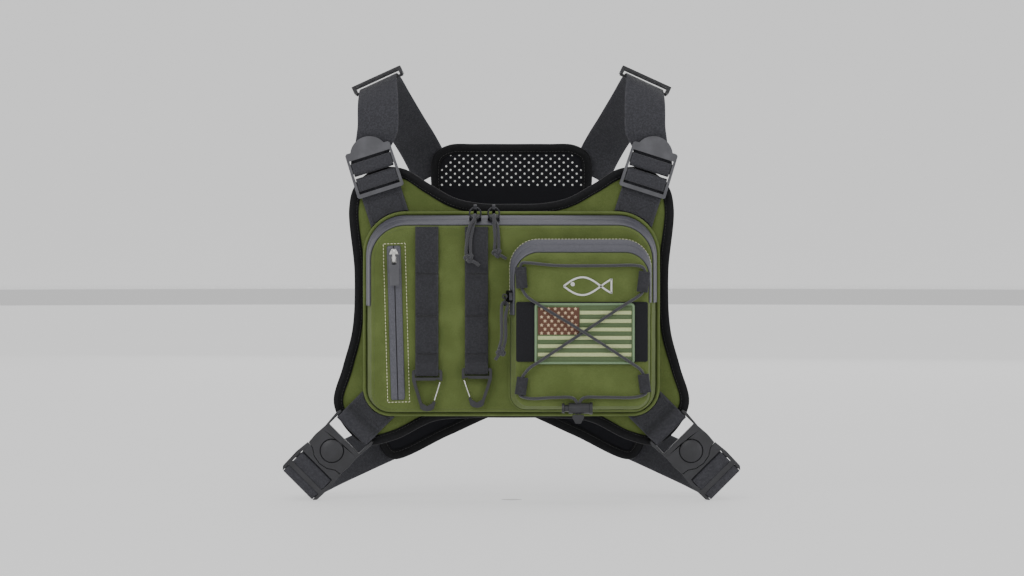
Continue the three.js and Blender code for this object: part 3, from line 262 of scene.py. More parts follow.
# ------------------------------------------------------------------ finishes
@dataclass(frozen=True)
class Nylon:
    """Woven nylon: a plain weave of fine yarns with a soft mottle."""

    name: str
    colour: tuple[float, float, float]
    light: tuple[float, float, float]
    yarn: float = 0.55 * MM
    depth: float = 0.09 * MM
    sheen: float = 0.08

    def material(self) -> bpy.types.Material:
        """Height is |sin| of one yarn or the other, by a checker of crossings."""
        s = Shade(self.name)
        across, along = s.cloth()
        over = across.wave(self.yarn * 2) * along.wave(self.yarn * 2) > 0
        height = (abs(across.wave(self.yarn * 2)) * over
                  + abs(along.wave(self.yarn * 2)) * (1 - over))
        mottle = s.noise(55, 4) * 0.6 + s.noise(900, 2) * 0.4
        colour = s.mix(mottle.ramp(0.35, 0.68), self.colour, self.light)
        shadow = tuple(c * 0.62 for c in self.colour)
        colour = s.mix(height.ramp(0.0, 0.75), s.mix(0.5, shadow, colour), colour)
        swell = s.bump(s.noise(42, 2), 0.8 * MM, 0.35)
        return s.finish({
            "Base Color": colour, "Roughness": mottle * 0.12 + 0.76,
            "Sheen Weight": self.sheen, "Specular IOR Level": 0.2, "Sheen Roughness": 0.45,
            "Normal": s.bump(height, self.depth, 0.9, swell),
        })


@dataclass(frozen=True)
class Webbing:
    """Woven webbing: rows of ribs that zigzag across, with a firm edge on each side."""

    name: str
    colour: tuple[float, float, float]
    rib: float = 1.5 * MM
    warp: float = 2.4 * MM
    half_width: float = STRAP_WIDTH / 2
    sheen: float = 0.08

    def material(self) -> bpy.types.Material:
        """Ribs run across, shifted by a triangle of the place across."""
        s = Shade(self.name)
        across, along = s.cloth()
        zigzag = abs(across.part(self.warp * 2) - 0.5) * self.rib * 1.3
        ribs = abs((along + zigzag).wave(self.rib))
        cords = abs(across.wave(self.warp))
        edge = abs(across).ramp(self.half_width - 1.6 * MM, self.half_width - 1.0 * MM)
        height = (ribs * 0.7 + cords * 0.3) * (1 - edge * 0.6) + edge * 0.5
        fuzz = s.noise(600, 3)
        # Painted shade: where the ribs' height is low, between the ribs and off the edges, the colour is
        # mixed towards this darker copy.
        dark = tuple(c * 0.45 for c in self.colour)
        light = tuple(c * 1.5 + 0.004 for c in self.colour)
        colour = s.mix(height.ramp(0.1, 0.9), dark, s.mix(fuzz.ramp(0.35, 0.7), self.colour, light))
        return s.finish({
            "Base Color": colour, "Roughness": fuzz * 0.15 + 0.58,
            "Sheen Weight": self.sheen, "Specular IOR Level": 0.2, "Sheen Roughness": 0.4,
            "Normal": s.bump(height, 0.16 * MM, 1.0),
        })


@dataclass(frozen=True)
class Coated:
    """Zipper tape coated against water: smooth, with a slit down its middle."""

    name: str
    colour: tuple[float, float, float] = (0.054, 0.054, 0.066)
    slit: float = 0.35 * MM
    tooth: float = 1.25 * MM

    def material(self) -> bpy.types.Material:
        """The slit is painted near black, partly the dark coil below and partly painted shade in the gap,
        and the coil shows as a faint ripple.
        """
        s = Shade(self.name)
        across, along = s.cloth()
        near = abs(across)
        open_ = 1 - near.ramp(self.slit * 0.5, self.slit * 1.6)
        ripple = along.wave(self.tooth) * (1 - near.ramp(2.0 * MM, 3.4 * MM))
        grain = s.noise(1400, 2)
        # Partly the dark coil below and partly painted shade: the slit is mixed to near black.
        colour = s.mix(open_, s.mix(grain.ramp(0.3, 0.7), self.colour,
                                    tuple(c * 1.7 for c in self.colour)), (0.002, 0.002, 0.002))
        height = ripple * 0.25 + grain * 0.2 - open_ * 1.2
        return s.finish({
            "Base Color": colour, "Roughness": grain * 0.12 + 0.36 + open_ * 0.4,
            "Normal": s.bump(height, 0.12 * MM, 1.0),
        })


@dataclass(frozen=True)
class Moulded:
    """Moulded plastic: a fine spark texture with broad patches rubbed a little brighter."""

    name: str
    colour: tuple[float, float, float]
    roughness: float = 0.42
    grain: float = 1800

    def material(self) -> bpy.types.Material:
        """Fine noise for the grain and a broad one for handling marks."""
        s = Shade(self.name)
        grain, rub = s.noise(self.grain, 2), s.noise(90, 3)
        lit = tuple(c * 1.35 + 0.003 for c in self.colour)
        colour = s.mix(rub.ramp(0.35, 0.75), self.colour, lit)
        return s.finish({
            "Base Color": colour, "Roughness": rub * 0.16 + grain * 0.06 + self.roughness - 0.1,
            "Normal": s.bump(grain, 0.025 * MM, 0.8),
        })


@dataclass(frozen=True)
class Metal:
    """Die-cast or drawn metal with a faint brushed grain."""

    name: str
    colour: tuple[float, float, float]
    roughness: float = 0.28

    def material(self) -> bpy.types.Material:
        """Metallic all over, with rubbed patches smoother than the rest."""
        s = Shade(self.name)
        rub = s.noise(240, 3)
        colour = s.mix(rub.ramp(0.3, 0.7), self.colour, tuple(c * 0.7 for c in self.colour))
        return s.finish({
            "Base Color": colour, "Metallic": 1.0, "Roughness": rub * 0.2 + self.roughness - 0.08,
            "Normal": s.bump(s.noise(1500, 2), 0.01 * MM, 0.6),
        })


@dataclass(frozen=True)
class Braid:
    """A braided cord sheath: two sets of yarns crossing on a slant round the cord."""

    name: str
    colour: tuple[float, float, float] = (0.013, 0.013, 0.016)
    yarn: float = 1.5 * MM

    def material(self) -> bpy.types.Material:
        """Two slanted sines, the higher of them on top."""
        s = Shade(self.name)
        round_, along = s.cloth()
        one, two = (along + round_).wave(self.yarn), (along - round_).wave(self.yarn)
        height = one.math("MAXIMUM", two)
        # Painted highlight: the raised yarn crests are mixed towards this lighter copy of the colour.
        light = tuple(c * 2.6 + 0.006 for c in self.colour)
        colour = s.mix(height.ramp(-0.2, 1.0), self.colour, light)
        return s.finish({
            "Base Color": colour, "Roughness": height * 0.08 + 0.6, "Sheen Weight": 0.3,
            "Normal": s.bump(height, 0.12 * MM, 1.0),
        })


@dataclass(frozen=True)
class Foam:
    """Spacer fabric over foam, punched with rows of staggered holes near its top; the holes aren't cut here
    but painted pale, as painted light seen through them.
    """

    name: str
    colour: tuple[float, float, float] = (0.006, 0.006, 0.008)
    # Painted light: the pale colour that stands for the light seen through a hole.
    dot: tuple[float, float, float] = (0.80, 0.80, 0.80)
    across_pitch: float = 8.3 * MM
    row_pitch: float = 3.55 * MM
    radius: float = 0.95 * MM
    low: float = 117 * MM
    high: float = 147.5 * MM

    def material(self) -> bpy.types.Material:
        """A hole is painted pale, as painted light seen through it; every second row is shifted by half a
        pitch.
        """
        s = Shade(self.name)
        x, _, z = s.split(s.place())
        row = (z / self.row_pitch).math("FLOOR")
        odd = (row * 0.5).math("FRACT")
        u = ((x / self.across_pitch + odd + 40.0).math("FRACT") - 0.5) * self.across_pitch
        v = ((z / self.row_pitch).math("FRACT") - 0.5) * self.row_pitch
        near = (u * u + v * v).math("SQRT")
        reach = 77 * MM - (z - self.low).math("MAXIMUM", 0.0) * 0.62
        field_ = (z > self.low) * (z < self.high) * (abs(x) < reach)
        # Where the painted light of the holes goes.
        hole = (near < self.radius) * field_
        knit = abs(x.wave(1.1 * MM)) * abs(z.wave(1.1 * MM))
        dish = near.ramp(self.radius * 0.9, self.radius * 1.7)
        # Painted highlight: the knit's raised ridges are mixed towards this lighter copy of the colour.
        light = tuple(c * 2.2 for c in self.colour)
        return s.finish({
            "Base Color": s.mix(hole, s.mix(knit.ramp(0.1, 0.8), self.colour, light), self.dot),
            "Roughness": knit * 0.1 + 0.78, "Sheen Weight": 0.05,
            "Specular IOR Level": 0.15,
            "Normal": s.bump(knit * 0.4 + dish * field_, 0.3 * MM, 0.8),
        })


@dataclass(frozen=True)
class Pile:
    """Loop pile: a dark, soft, directionless nap."""

    name: str
    colour: tuple[float, float, float] = (0.005, 0.005, 0.006)
    # Painted highlight: the lighter colour of the nap where it stands high.
    tip: tuple[float, float, float] = (0.018, 0.018, 0.022)

    def material(self) -> bpy.types.Material:
        """Two sizes of noise; where the nap stands high it takes the tip colour as a painted highlight."""
        s = Shade(self.name)
        nap = s.noise(1300, 4) * 0.6 + s.noise(3600, 2) * 0.4
        return s.finish({
            "Base Color": s.mix(nap.ramp(0.3, 0.7), self.colour, self.tip),
            "Roughness": nap * 0.1 + 0.85, "Sheen Weight": 0.1, "Sheen Roughness": 0.6,
            "Specular IOR Level": 0.15,
            "Normal": s.bump(nap, 0.5 * MM, 0.9),
        })


@dataclass(frozen=True)
class Thread:
    """Sewing thread, or a field of satin stitches, twisted along one direction."""

    name: str
    colour: tuple[float, float, float]
    pitch: float = 0.42 * MM
    gloss: float = 0.5

    def material(self) -> bpy.types.Material:
        """Threads run across the cloth coordinates' second axis."""
        s = Shade(self.name)
        across, along = s.cloth()
        lines = abs((across + along * 0.12).wave(self.pitch * 2))
        # Painted shade: the grooves between the twisted plies, where lines is low, are mixed towards this
        # darker copy of the colour.
        dark = tuple(c * 0.55 for c in self.colour)
        return s.finish({
            "Base Color": s.mix(lines.ramp(0.0, 0.7), dark, s.mix(
                s.noise(500, 2).ramp(0.3, 0.7), self.colour, tuple(c * 1.15 for c in self.colour))),
            "Roughness": lines * 0.1 + self.gloss, "Sheen Weight": 0.2,
            "Normal": s.bump(lines, 0.1 * MM, 1.0),
        })


@dataclass(frozen=True)
class Studio:
    """The pale floor and backdrop."""

    name: str = "studio_floor"
    glow: float = 0.68

    def material(self) -> bpy.types.Material:
        """A near-white matte surface with the faintest grain."""
        s = Shade(self.name)
        return s.finish({"Base Color": s.mix(s.noise(3, 2), (0.30, 0.30, 0.30), (0.33, 0.33, 0.33)),
                         "Roughness": 0.9, "Emission Color": (1.0, 1.0, 1.0, 1.0),
                         "Emission Strength": self.glow})


class Finish(Enum):
    """The rig's finishes, each made once."""

    OLIVE = Nylon("olive_nylon", (0.096, 0.128, 0.034), (0.128, 0.166, 0.049))
    PIPING = Nylon("olive_piping", (0.115, 0.152, 0.044), (0.150, 0.192, 0.060))
    BINDING = Webbing("black_binding", (0.003, 0.003, 0.0042), rib=0.9 * MM, warp=40 * MM,
                      half_width=5 * MM)
    STRAP = Webbing("black_webbing", (0.040, 0.040, 0.047))
    LOAD_STRAP = Webbing("black_load_webbing", (0.030, 0.030, 0.035), half_width=10.7 * MM,
                         rib=1.2 * MM, warp=1.8 * MM)
    ZIPPER = Coated("coated_zipper")
    BLACK_PLASTIC = Moulded("black_acetal", (0.015, 0.015, 0.018))
    GREY_PLASTIC = Moulded("grey_acetal", (0.066, 0.066, 0.074), 0.46)
    BLACK_METAL = Metal("black_zinc", (0.06, 0.06, 0.066), 0.3)
    STEEL = Metal("bright_steel", (0.72, 0.71, 0.68), 0.24)
    CORD = Braid("black_cord")
    FOAM = Foam("perforated_foam")
    PILE = Pile("loop_pile")
    CREAM = Thread("cream_thread", (0.74, 0.72, 0.50))
    BLACK_THREAD = Thread("black_thread", (0.012, 0.012, 0.014))
    OLIVE_THREAD = Thread("olive_thread", (0.075, 0.10, 0.03))
    PALE_STRIPE = Thread("pale_stripe", (0.50, 0.56, 0.27))
    DARK_STRIPE = Thread("dark_stripe", (0.072, 0.118, 0.040))
    CANTON = Thread("brown_canton", (0.105, 0.033, 0.014))
    STAR = Thread("pale_star", (0.68, 0.52, 0.33))
    BORDER = Thread("green_border", (0.18, 0.28, 0.15))
    PRINT = Pile("pale_print", (0.60, 0.60, 0.58), (0.72, 0.72, 0.70))
    FLOOR = Studio()

    def dress(self, piece: bpy.types.Object) -> None:
        """Gives a piece this finish on every slot."""
        material = bpy.data.materials.get(f"finish_{self.value.name}")
        if material is None:
            material = self.value.material()
            material.name = f"finish_{self.value.name}"
        piece.data.materials.clear()
        piece.data.materials.append(material)


# ------------------------------------------------------------------ curves and surfaces
def spline(points: Array, samples: int | Array, closed: bool = False) -> Array:
    """A centripetal Catmull-Rom curve through points.

    Each stretch is the cubic with the end slopes of three neighbouring chords, weighted by
    the square roots of their lengths.

    Args:
        points: the points, one row each.
        samples: how many even steps of the parameter, or the parameters themselves, 0 to 1.
        closed: whether the curve joins its own start.
    Returns:
        One row for each sample.
    """
    p = np.asarray(points, float)
    count = len(p)
    t = np.linspace(0, 1, samples, endpoint=not closed) if np.isscalar(samples) else samples
    if closed:
        place = t * count
        i = np.floor(place).astype(int) % count
        a, b, c, d = (p[(i + k) % count] for k in (-1, 0, 1, 2))
    else:
        place = t * (count - 1)
        i = np.minimum(np.floor(place).astype(int), count - 2)
        q = np.vstack([2 * p[0] - p[1], p, 2 * p[-1] - p[-2]])
        a, b, c, d = (q[i + k] for k in range(4))
    w = (place - np.floor(place) if closed else place - i)[:, None]
    da, db, dc = (np.sqrt(np.maximum(np.linalg.norm(y - x, axis=1), 1e-9))[:, None]
                  for x, y in ((a, b), (b, c), (c, d)))
    s = ((b - a) / da - (c - a) / (da + db) + (c - b) / db) * db
    e = ((c - b) / db - (d - b) / (db + dc) + (d - c) / dc) * db
    return b + s * w + (-3 * b + 3 * c - 2 * s - e) * w ** 2 + (2 * b - 2 * c + s + e) * w ** 3


def even(line: Array, count: int, closed: bool = False) -> Array:
    """The same line as count points at equal distances along it."""
    whole = np.vstack([line, line[:1]]) if closed else line
    reach = np.concatenate([[0], np.cumsum(np.linalg.norm(np.diff(whole, axis=0), axis=1))])
    at = np.linspace(0, reach[-1], count, endpoint=not closed)
    return np.stack([np.interp(at, reach, whole[:, k]) for k in range(whole.shape[1])], 1)


def slopes(line: Array, closed: bool = False) -> Array:
    """Unit directions along a line."""
    if closed:
        d = np.roll(line, -1, 0) - np.roll(line, 1, 0)
    else:
        d = np.gradient(line, axis=0)
    return d / np.maximum(np.linalg.norm(d, axis=1), 1e-12)[:, None]


def outward(outline: Array) -> Array:
    """Unit normals of a closed anticlockwise outline of (x, z), pointing outwards."""
    d = slopes(outline, True)
    return np.stack([d[:, 1], -d[:, 0]], 1)


def at_level(outline: Array, y: float | Array) -> Array:
    """An outline of (x, z) placed at a depth."""
    return np.stack([outline[:, 0], np.broadcast_to(y, len(outline)), outline[:, 1]], 1)


def ripple(points: Array, size: float, scale: float) -> Array:
    """Soft uneven height over (x, z): a sum of sines whose pitches don't share a multiple."""
    x, z = points[..., 0] / scale, points[..., -1] / scale
    return size * (np.sin(x + 1.3 * z + 0.4) + np.sin(1.9 * x - 0.7 * z + 2.1)
                   + np.sin(0.6 * x - 2.3 * z + 4.2) + 0.6 * np.sin(3.1 * x + 2.7 * z)) / 3.6


def make(name: str, vertices: Array, faces: Array | list, uv: Array | None = None,
         smooth: bool = True) -> bpy.types.Object:
    """A mesh object from arrays.

    Args:
        name: the piece's name.
        vertices: one row of metres each.
        faces: rows of vertex numbers.
        uv: cloth coordinates in metres, one row for each face corner.
        smooth: whether its faces are shaded smooth.
    Returns:
        The new object, at the origin.
    """
    mesh = bpy.data.meshes.new(name)
    mesh.from_pydata(np.asarray(vertices, float).tolist(), [], np.asarray(faces).tolist()
                     if isinstance(faces, np.ndarray) else faces)
    mesh.polygons.foreach_set("use_smooth", np.full(len(mesh.polygons), smooth))
    if uv is not None:
        layer = mesh.uv_layers.new(name="cloth")
        layer.data.foreach_set("uv", np.asarray(uv, np.float32).ravel())
    mesh.update()
    piece = bpy.data.objects.new(name, mesh)
    bpy.context.scene.collection.objects.link(piece)
    return piece


def grid_faces(rows: int, cols: int, wrap_rows: bool, wrap_cols: bool) -> tuple[Array, Array]:
    """Quads over a grid, and the (row, column) of each corner before it wraps."""
    i, j = np.meshgrid(np.arange(rows if wrap_rows else rows - 1),
                       np.arange(cols if wrap_cols else cols - 1), indexing="ij")
    corners = np.stack([np.stack([i + a, j + b], -1) for a, b in ((0, 0), (0, 1), (1, 1), (1, 0))], 2)
    corners = corners.reshape(-1, 4, 2)
    return (corners[..., 0] % rows) * cols + corners[..., 1] % cols, corners


def sheet(name: str, grid: Array, wrap_rows: bool = False, wrap_cols: bool = False,
          caps: bool = False, uv: Callable[[Array, Array], Array] | None = None,
          ) -> bpy.types.Object:
    """A surface over a grid of points of shape (rows, columns, 3).

    Args:
        name: the piece's name.
        grid: the points.
        wrap_rows: whether the last row joins the first.
        wrap_cols: whether the last column joins the first.
        caps: whether the first and last rows are closed with one face each.
        uv: from rows and columns (unwrapped) to cloth coordinates; by default the distances
            along the grid's middle column and middle row.
    Returns:
        The piece, its faces pointing outwards.
    """
    rows, cols, _ = grid.shape
    faces, corners = grid_faces(rows, cols, wrap_rows, wrap_cols)
    if uv is None:
        run = distances(grid[:, cols // 2], wrap_rows)
        across = distances(grid[rows // 2], wrap_cols)
        across = across - across[-1] / 2
        values = np.stack([across[corners[..., 1]], run[corners[..., 0]]], -1)
    else:
        values = uv(corners[..., 0], corners[..., 1])
    points = grid.reshape(-1, 3)
    faces_list = faces.tolist()
    values = values.reshape(-1, 2)
    if caps:
        first, last = np.arange(cols)[::-1], np.arange(cols) + (rows - 1) * cols
        faces_list += [first.tolist(), last.tolist()]
        values = np.vstack([values, grid[0, ::-1][:, [0, 2]], grid[-1][:, [0, 2]]])
    a, b, c = (points[faces[:, k]] for k in (0, 1, 2))
    if np.einsum("ij,ij->i", a, np.cross(b, c)).sum() < 0 and (wrap_cols or wrap_rows):
        sizes = np.array([len(f) for f in faces_list])
        ends = np.cumsum(sizes)
        order = np.concatenate([np.arange(e - 1, e - n - 1, -1) for e, n in zip(ends, sizes)])
        faces_list = [f[::-1] for f in faces_list]
        values = values[order]
    return make(name, points, faces_list, values)


def distances(line: Array, closed: bool) -> Array:
    """Distance along a line at each point, with one more past the end of a closed line."""
    whole = np.vstack([line, line[:1]]) if closed else line
    return np.concatenate([[0], np.cumsum(np.linalg.norm(np.diff(whole, axis=0), axis=1))])


def frames_along(line: Array, closed: bool = False) -> tuple[Array, Array]:
    """Two unit directions square to a line, turned as little as possible along it."""
    along = slopes(line, closed)
    first = np.cross(along[0], [0, 1, 0])
    if np.linalg.norm(first) < 0.1:
        first = np.cross(along[0], [1, 0, 0])
    sides = [first / np.linalg.norm(first)]
    for direction in along[1:]:
        side = sides[-1] - direction * np.dot(sides[-1], direction)
        sides.append(side / np.linalg.norm(side))
    side = np.array(sides)
    return side, np.cross(along, side)


def tube(name: str, line: Array, diameter: float, sides: int = 12, closed: bool = False) -> bpy.types.Object:
    """A round tube: each section is a circle square to the line, with closed ends.

    Args:
        name: the piece's name.
        line: the middle line.
        diameter: the tube's diameter.
        sides: points round each section.
        closed: whether the line joins its own start.
    Returns:
        The piece.
    """
    side, up = frames_along(line, closed)
    angle = np.linspace(0, 2 * np.pi, sides, endpoint=False)
    grid = line[:, None] + diameter / 2 * (
        np.cos(angle)[None, :, None] * side[:, None] + np.sin(angle)[None, :, None] * up[:, None])
    run = distances(line, closed)
    turn = np.linspace(0, np.pi * diameter, sides + 1)
    return sheet(name, grid, wrap_rows=closed, wrap_cols=True, caps=not closed,
                 uv=lambda i, j: np.stack([turn[j], run[i]], -1))


def strap_profile(width: float, thickness: float) -> Array:
    """A webbing's section: flat faces and rounded edges, as (across, up) points."""
    turn = np.radians([-90, -45, 0, 45, 90])
    r, half = thickness / 2, width / 2
    edge = np.stack([half - r * 0.9 + r * 0.9 * np.cos(turn), r * np.sin(turn)], 1)
    inner = np.linspace(-1, 1, 7)[1:-1] * (half - r)
    top = np.stack([inner[::-1], np.full(5, r)], 1)
    bottom = np.stack([inner, np.full(5, -r)], 1)
    return np.vstack([edge, top, -edge, bottom])


def webbing(name: str, middle: Array, across: Array, width: float = STRAP_WIDTH,
            thickness: float = WEB * 0.94) -> bpy.types.Object:
    """A strap whose section follows a middle line, kept square to it and to its width.

    Args:
        name: the piece's name.
        middle: the strap's middle line.
        across: the direction of its width at each point.
        width: its width.
        thickness: its thickness.
    Returns:
        The piece.
    """
    side = across / np.linalg.norm(across, axis=1)[:, None]
    face = np.cross(side, slopes(middle))
    face /= np.linalg.norm(face, axis=1)[:, None]
    profile = strap_profile(width, thickness)
    grid = (middle[:, None] + profile[None, :, :1] * side[:, None]
            + profile[None, :, 1:] * face[:, None])
    run = distances(middle, False)
    wide = np.append(profile[:, 0], profile[0, 0])
    return sheet(name, grid, wrap_cols=True, caps=True,
                 uv=lambda i, j: np.stack([wide[j], run[i]], -1))


def pillow(name: str, outline: Array, levels: list[tuple[float, float]], centre: Array,
           crown: Callable[[Array], Array] | None = None, rings: int = 14,
           closed_back: float | None = None) -> bpy.types.Object:
    """A padded form: loops of one outline moved in by a distance, at a depth, then drawn
    evenly towards a centre.

    Args:
        name: the piece's name.
        outline: the closed outline of (x, z).
        levels: (inset, y) of each loop from the back edge to the front face's edge.
        centre: where the loops shrink to.
        crown: added to y from the face's edge (0) to its centre (1).
        rings: how many loops fill the front face.
        closed_back: the depth at the centre of the back, which is filled in the same way.
    Returns:
        The piece.
    """
    normal = outward(outline)
    loops = [at_level(outline - normal * inset, y) for inset, y in levels]
    share = 1 - np.linspace(0, 1, rings + 1)[1:] ** 0.9 * 0.985

    def filled(loop: Array, lift: Callable[[Array], Array] | None) -> list[Array]:
        """The loops that shrink from one loop to the centre, lifted by a crown."""
        flat, y = loop[:, [0, 2]], loop[0, 1]
        result = []
        for f in share:
            ring = centre + (flat - centre) * f
            rise = lift(1 - f + 0 * ring[:, 0]) if lift else 0
            result.append(at_level(ring, y + rise))
        return result

    front = filled(loops[-1], crown)
    back = filled(loops[0], None)[::-1] if closed_back is not None else []
    grid = np.stack([*back, *loops, *front])
    flat = np.concatenate([grid, grid[:, :1]], 1)
    piece = sheet(name, grid, wrap_cols=True, caps=closed_back is not None,
                  uv=lambda i, j: flat[i, j][..., [0, 2]] + flat[i, j][..., 1:2] * 0.7)
    return piece


def stitches(name: str, line: Array, out: Array, pitch: float = 2.9 * MM,
             thick: float = 0.42 * MM, fill: float = 0.72) -> bpy.types.Object:
    """A row of thread stitches laid on a line, each a bead with its ends sunk in the cloth.

    Args:
        name: the piece's name.
        line: the seam's line.
        out: unit directions away from the cloth at the line's points.
        pitch: from one stitch to the next.
        thick: the thread's thickness.
        fill: how much of the pitch a stitch covers.
    Returns:
        The piece.
    """
    run = distances(line, False)
    count = max(2, int(run[-1] / pitch))
    at = (np.arange(count) + 0.5) * run[-1] / count
    pick = lambda values, place: np.stack([np.interp(place, run, values[:, k]) for k in range(3)], 1)
    middle, up = pick(line, at), pick(out, at)
    tangent = pick(slopes(line), at)
    tangent /= np.linalg.norm(tangent, axis=1)[:, None]
    up = up - tangent * np.einsum("ij,ij->i", up, tangent)[:, None]
    up /= np.linalg.norm(up, axis=1)[:, None]
    side = np.cross(tangent, up)
    half = pitch * fill / 2
    stations = np.array([-1, -0.8, 0, 0.8, 1]) * half
    rise = np.array([-0.35, 0.1, 0.3, 0.1, -0.35]) * thick
    size = np.array([0.4, 0.85, 1, 0.85, 0.4]) * thick / 2
    angle = np.linspace(0, 2 * np.pi, 6, endpoint=False)
    points = (middle[:, None, None] + tangent[:, None, None] * stations[None, :, None, None]
              + up[:, None, None] * (rise[:, None] + size[:, None] * np.sin(angle))[None, ..., None]
              + side[:, None, None] * (size[:, None] * np.cos(angle))[None, ..., None])
    faces, corners = grid_faces(5, 6, False, True)
    whole = (faces[None] + (np.arange(count) * 30)[:, None, None]).reshape(-1, 4)
    uv = np.broadcast_to(np.stack([stations[corners[..., 0]] * 0.8, corners[..., 1] * 0.2 * MM], -1),
                         (count, len(faces), 4, 2)).reshape(-1, 2)
    return make(name, points.reshape(-1, 3), whole[:, ::-1], uv)


def rounded(left: float, right: float, bottom: float, top: float, top_radius: float,
            bottom_radius: float, count: int = 240) -> Array:
    """A rounded rectangle as even points, anticlockwise from the middle of its foot."""
    def arc(x: float, z: float, r: float, start: float) -> Array:
        """A quarter of a circle from an angle in degrees."""
        a = np.radians(np.linspace(start, start + 90, 13))
        return np.stack([x + r * np.cos(a), z + r * np.sin(a)], 1)
    middle = np.array([[(left + right) / 2, bottom]])
    points = np.vstack([
        middle, arc(right - bottom_radius, bottom + bottom_radius, bottom_radius, 270),
        arc(right - top_radius, top - top_radius, top_radius, 0),
        arc(left + top_radius, top - top_radius, top_radius, 90),
        arc(left + bottom_radius, bottom + bottom_radius, bottom_radius, 180)])
    return even(points, count, closed=True)


def symmetric(half: list[tuple[float, float]], count: int = 300) -> Array:
    """A closed symmetric outline in metres through half an outline's points in millimetres."""
    right = np.array(half, float) * MM
    left = right[1:-1] * [-1, 1]
    line = spline(np.vstack([left, right[::-1]]), 1600, closed=True)
    return even(line, count, closed=True)


# ------------------------------------------------------------------ placing pieces
def settle(piece: bpy.types.Object, finish: Finish, body: Body, *nodes: str) -> bpy.types.Object:
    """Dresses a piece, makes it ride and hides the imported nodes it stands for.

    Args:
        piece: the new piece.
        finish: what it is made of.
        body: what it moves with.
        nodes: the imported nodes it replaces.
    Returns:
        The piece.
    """
    finish.dress(piece)
    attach(piece, body.value)
    if nodes:
        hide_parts(*nodes)
    LOG.info("%s: %d faces, rides on %s", piece.name, len(piece.data.polygons), body.value)
    return piece


def soften(node: str, finish: Finish, width: float = 0.45 * MM) -> None:
    """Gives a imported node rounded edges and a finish; its own mesh isn't changed.

    Args:
        node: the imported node.
        finish: what it is made of.
        width: how wide its edges are rounded.
    """
    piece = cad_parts[node]
    weld = piece.modifiers.new("weld", "WELD")
    weld.merge_threshold = 0.01 * MM
    bevel = piece.modifiers.new("edges", "BEVEL")
    bevel.width = width
    bevel.segments = 2
    bevel.limit_method = "ANGLE"
    bevel.angle_limit = np.radians(28)
    bevel.harden_normals = False
    bevel.use_clamp_overlap = True
    piece.data.polygons.foreach_set("use_smooth", np.full(len(piece.data.polygons), True))
    piece.modifiers.new("normals", "WEIGHTED_NORMAL")
    finish.dress(piece)
    LOG.info("%s keeps its packed shape", node)


# ------------------------------------------------------------------ panels
@dataclass
class BoundPanel:
    """A padded panel with a folded binding sewn round its edge."""

    name: str
    half: list[tuple[float, float]]
    back: float
    front: float
    centre: tuple[float, float]
    finish: Finish
    reach: float = 9 * MM

    def outline(self) -> Array:
        """The panel's whole edge."""
        return symmetric(self.half)

    def panel(self) -> bpy.types.Object:
        """Two crowned faces that are drawn thin under the binding."""
        depth = self.back - self.front
        thin = depth * 0.16
        levels = [(self.reach + 2 * MM, self.back), (self.reach - 1 * MM, self.back - thin * 0.6),
                  (2.2 * MM, self.back - thin), (1.7 * MM, (self.back + self.front) / 2),
                  (2.2 * MM, self.front + thin), (self.reach - 1 * MM, self.front + thin * 0.7),
                  (self.reach + 1.2 * MM, self.front + thin * 0.25)]
        piece = settle(pillow(f"{self.name}_cloth", self.outline(), levels, np.array(self.centre),
                              lambda s: -thin * 0.25 * np.minimum(1, s * 9), 22, self.back),
                       self.finish, Body.VEST, f"{self.name}_panel")
        return piece

    def binding(self) -> bpy.types.Object:
        """A folded tape: its section is a C whose mouth faces inwards."""
        b, f = self.back, self.front
        section = np.array([
            (-9.0, b / MM + 0.3), (-9.05, b / MM + 0.8), (-8.8, b / MM + 1.1), (-5.0, b / MM + 1.22),
            (-2.0, b / MM + 1.25), (-0.7, b / MM + 0.75), (-0.12, b / MM - 0.5), (0, (b + f) / 2 / MM),
            (-0.12, f / MM + 0.5), (-0.7, f / MM - 0.75), (-2.0, f / MM - 1.25),
            (-5.0, f / MM - 1.22), (-8.8, f / MM - 1.1), (-9.05, f / MM - 0.8),
            (-9.0, f / MM - 0.3), (-1.3, f / MM - 0.3), (-1.1, (b + f) / 2 / MM),
            (-1.3, b / MM + 0.3)]) * MM
        line = self.outline()
        normal = outward(line)
        wave = 1 + 0.05 * np.sin(np.arange(len(line)) * 0.21) * np.cos(np.arange(len(line)) * 0.037)
        reach = section[None, :, 0] * wave[:, None]
        flat = line[:, None] + normal[:, None] * reach[..., None]
        y = np.broadcast_to(section[None, :, 1], flat.shape[:2])
        grid = np.stack([flat[..., 0], y, flat[..., 1]], -1)
        run, wide = distances(line, True), distances(section, True)
        piece = sheet(f"{self.name}_edging", grid, wrap_rows=True, wrap_cols=True,
                      uv=lambda i, j: np.stack([wide[j] - wide[-1] / 2, run[i]], -1))
        return settle(piece, Finish.BINDING, Body.VEST, f"{self.name}_binding")

    def seam(self) -> bpy.types.Object:
        """The lockstitch that holds the binding, on the front."""
        line = self.outline()
        seam = at_level(line - outward(line) * 7.4 * MM, self.front - 1.25 * MM)
        closed = np.vstack([seam, seam[:1]])
        out = np.broadcast_to([0.0, -1.0, 0.0], closed.shape)
        return settle(stitches(f"{self.name}_edge_stitching", closed, out, 3.0 * MM),
                      Finish.BLACK_THREAD, Body.VEST)

    def build(self) -> None:
        """Makes the panel, its binding and their stitching."""
        self.panel()
        self.binding()
        self.seam()


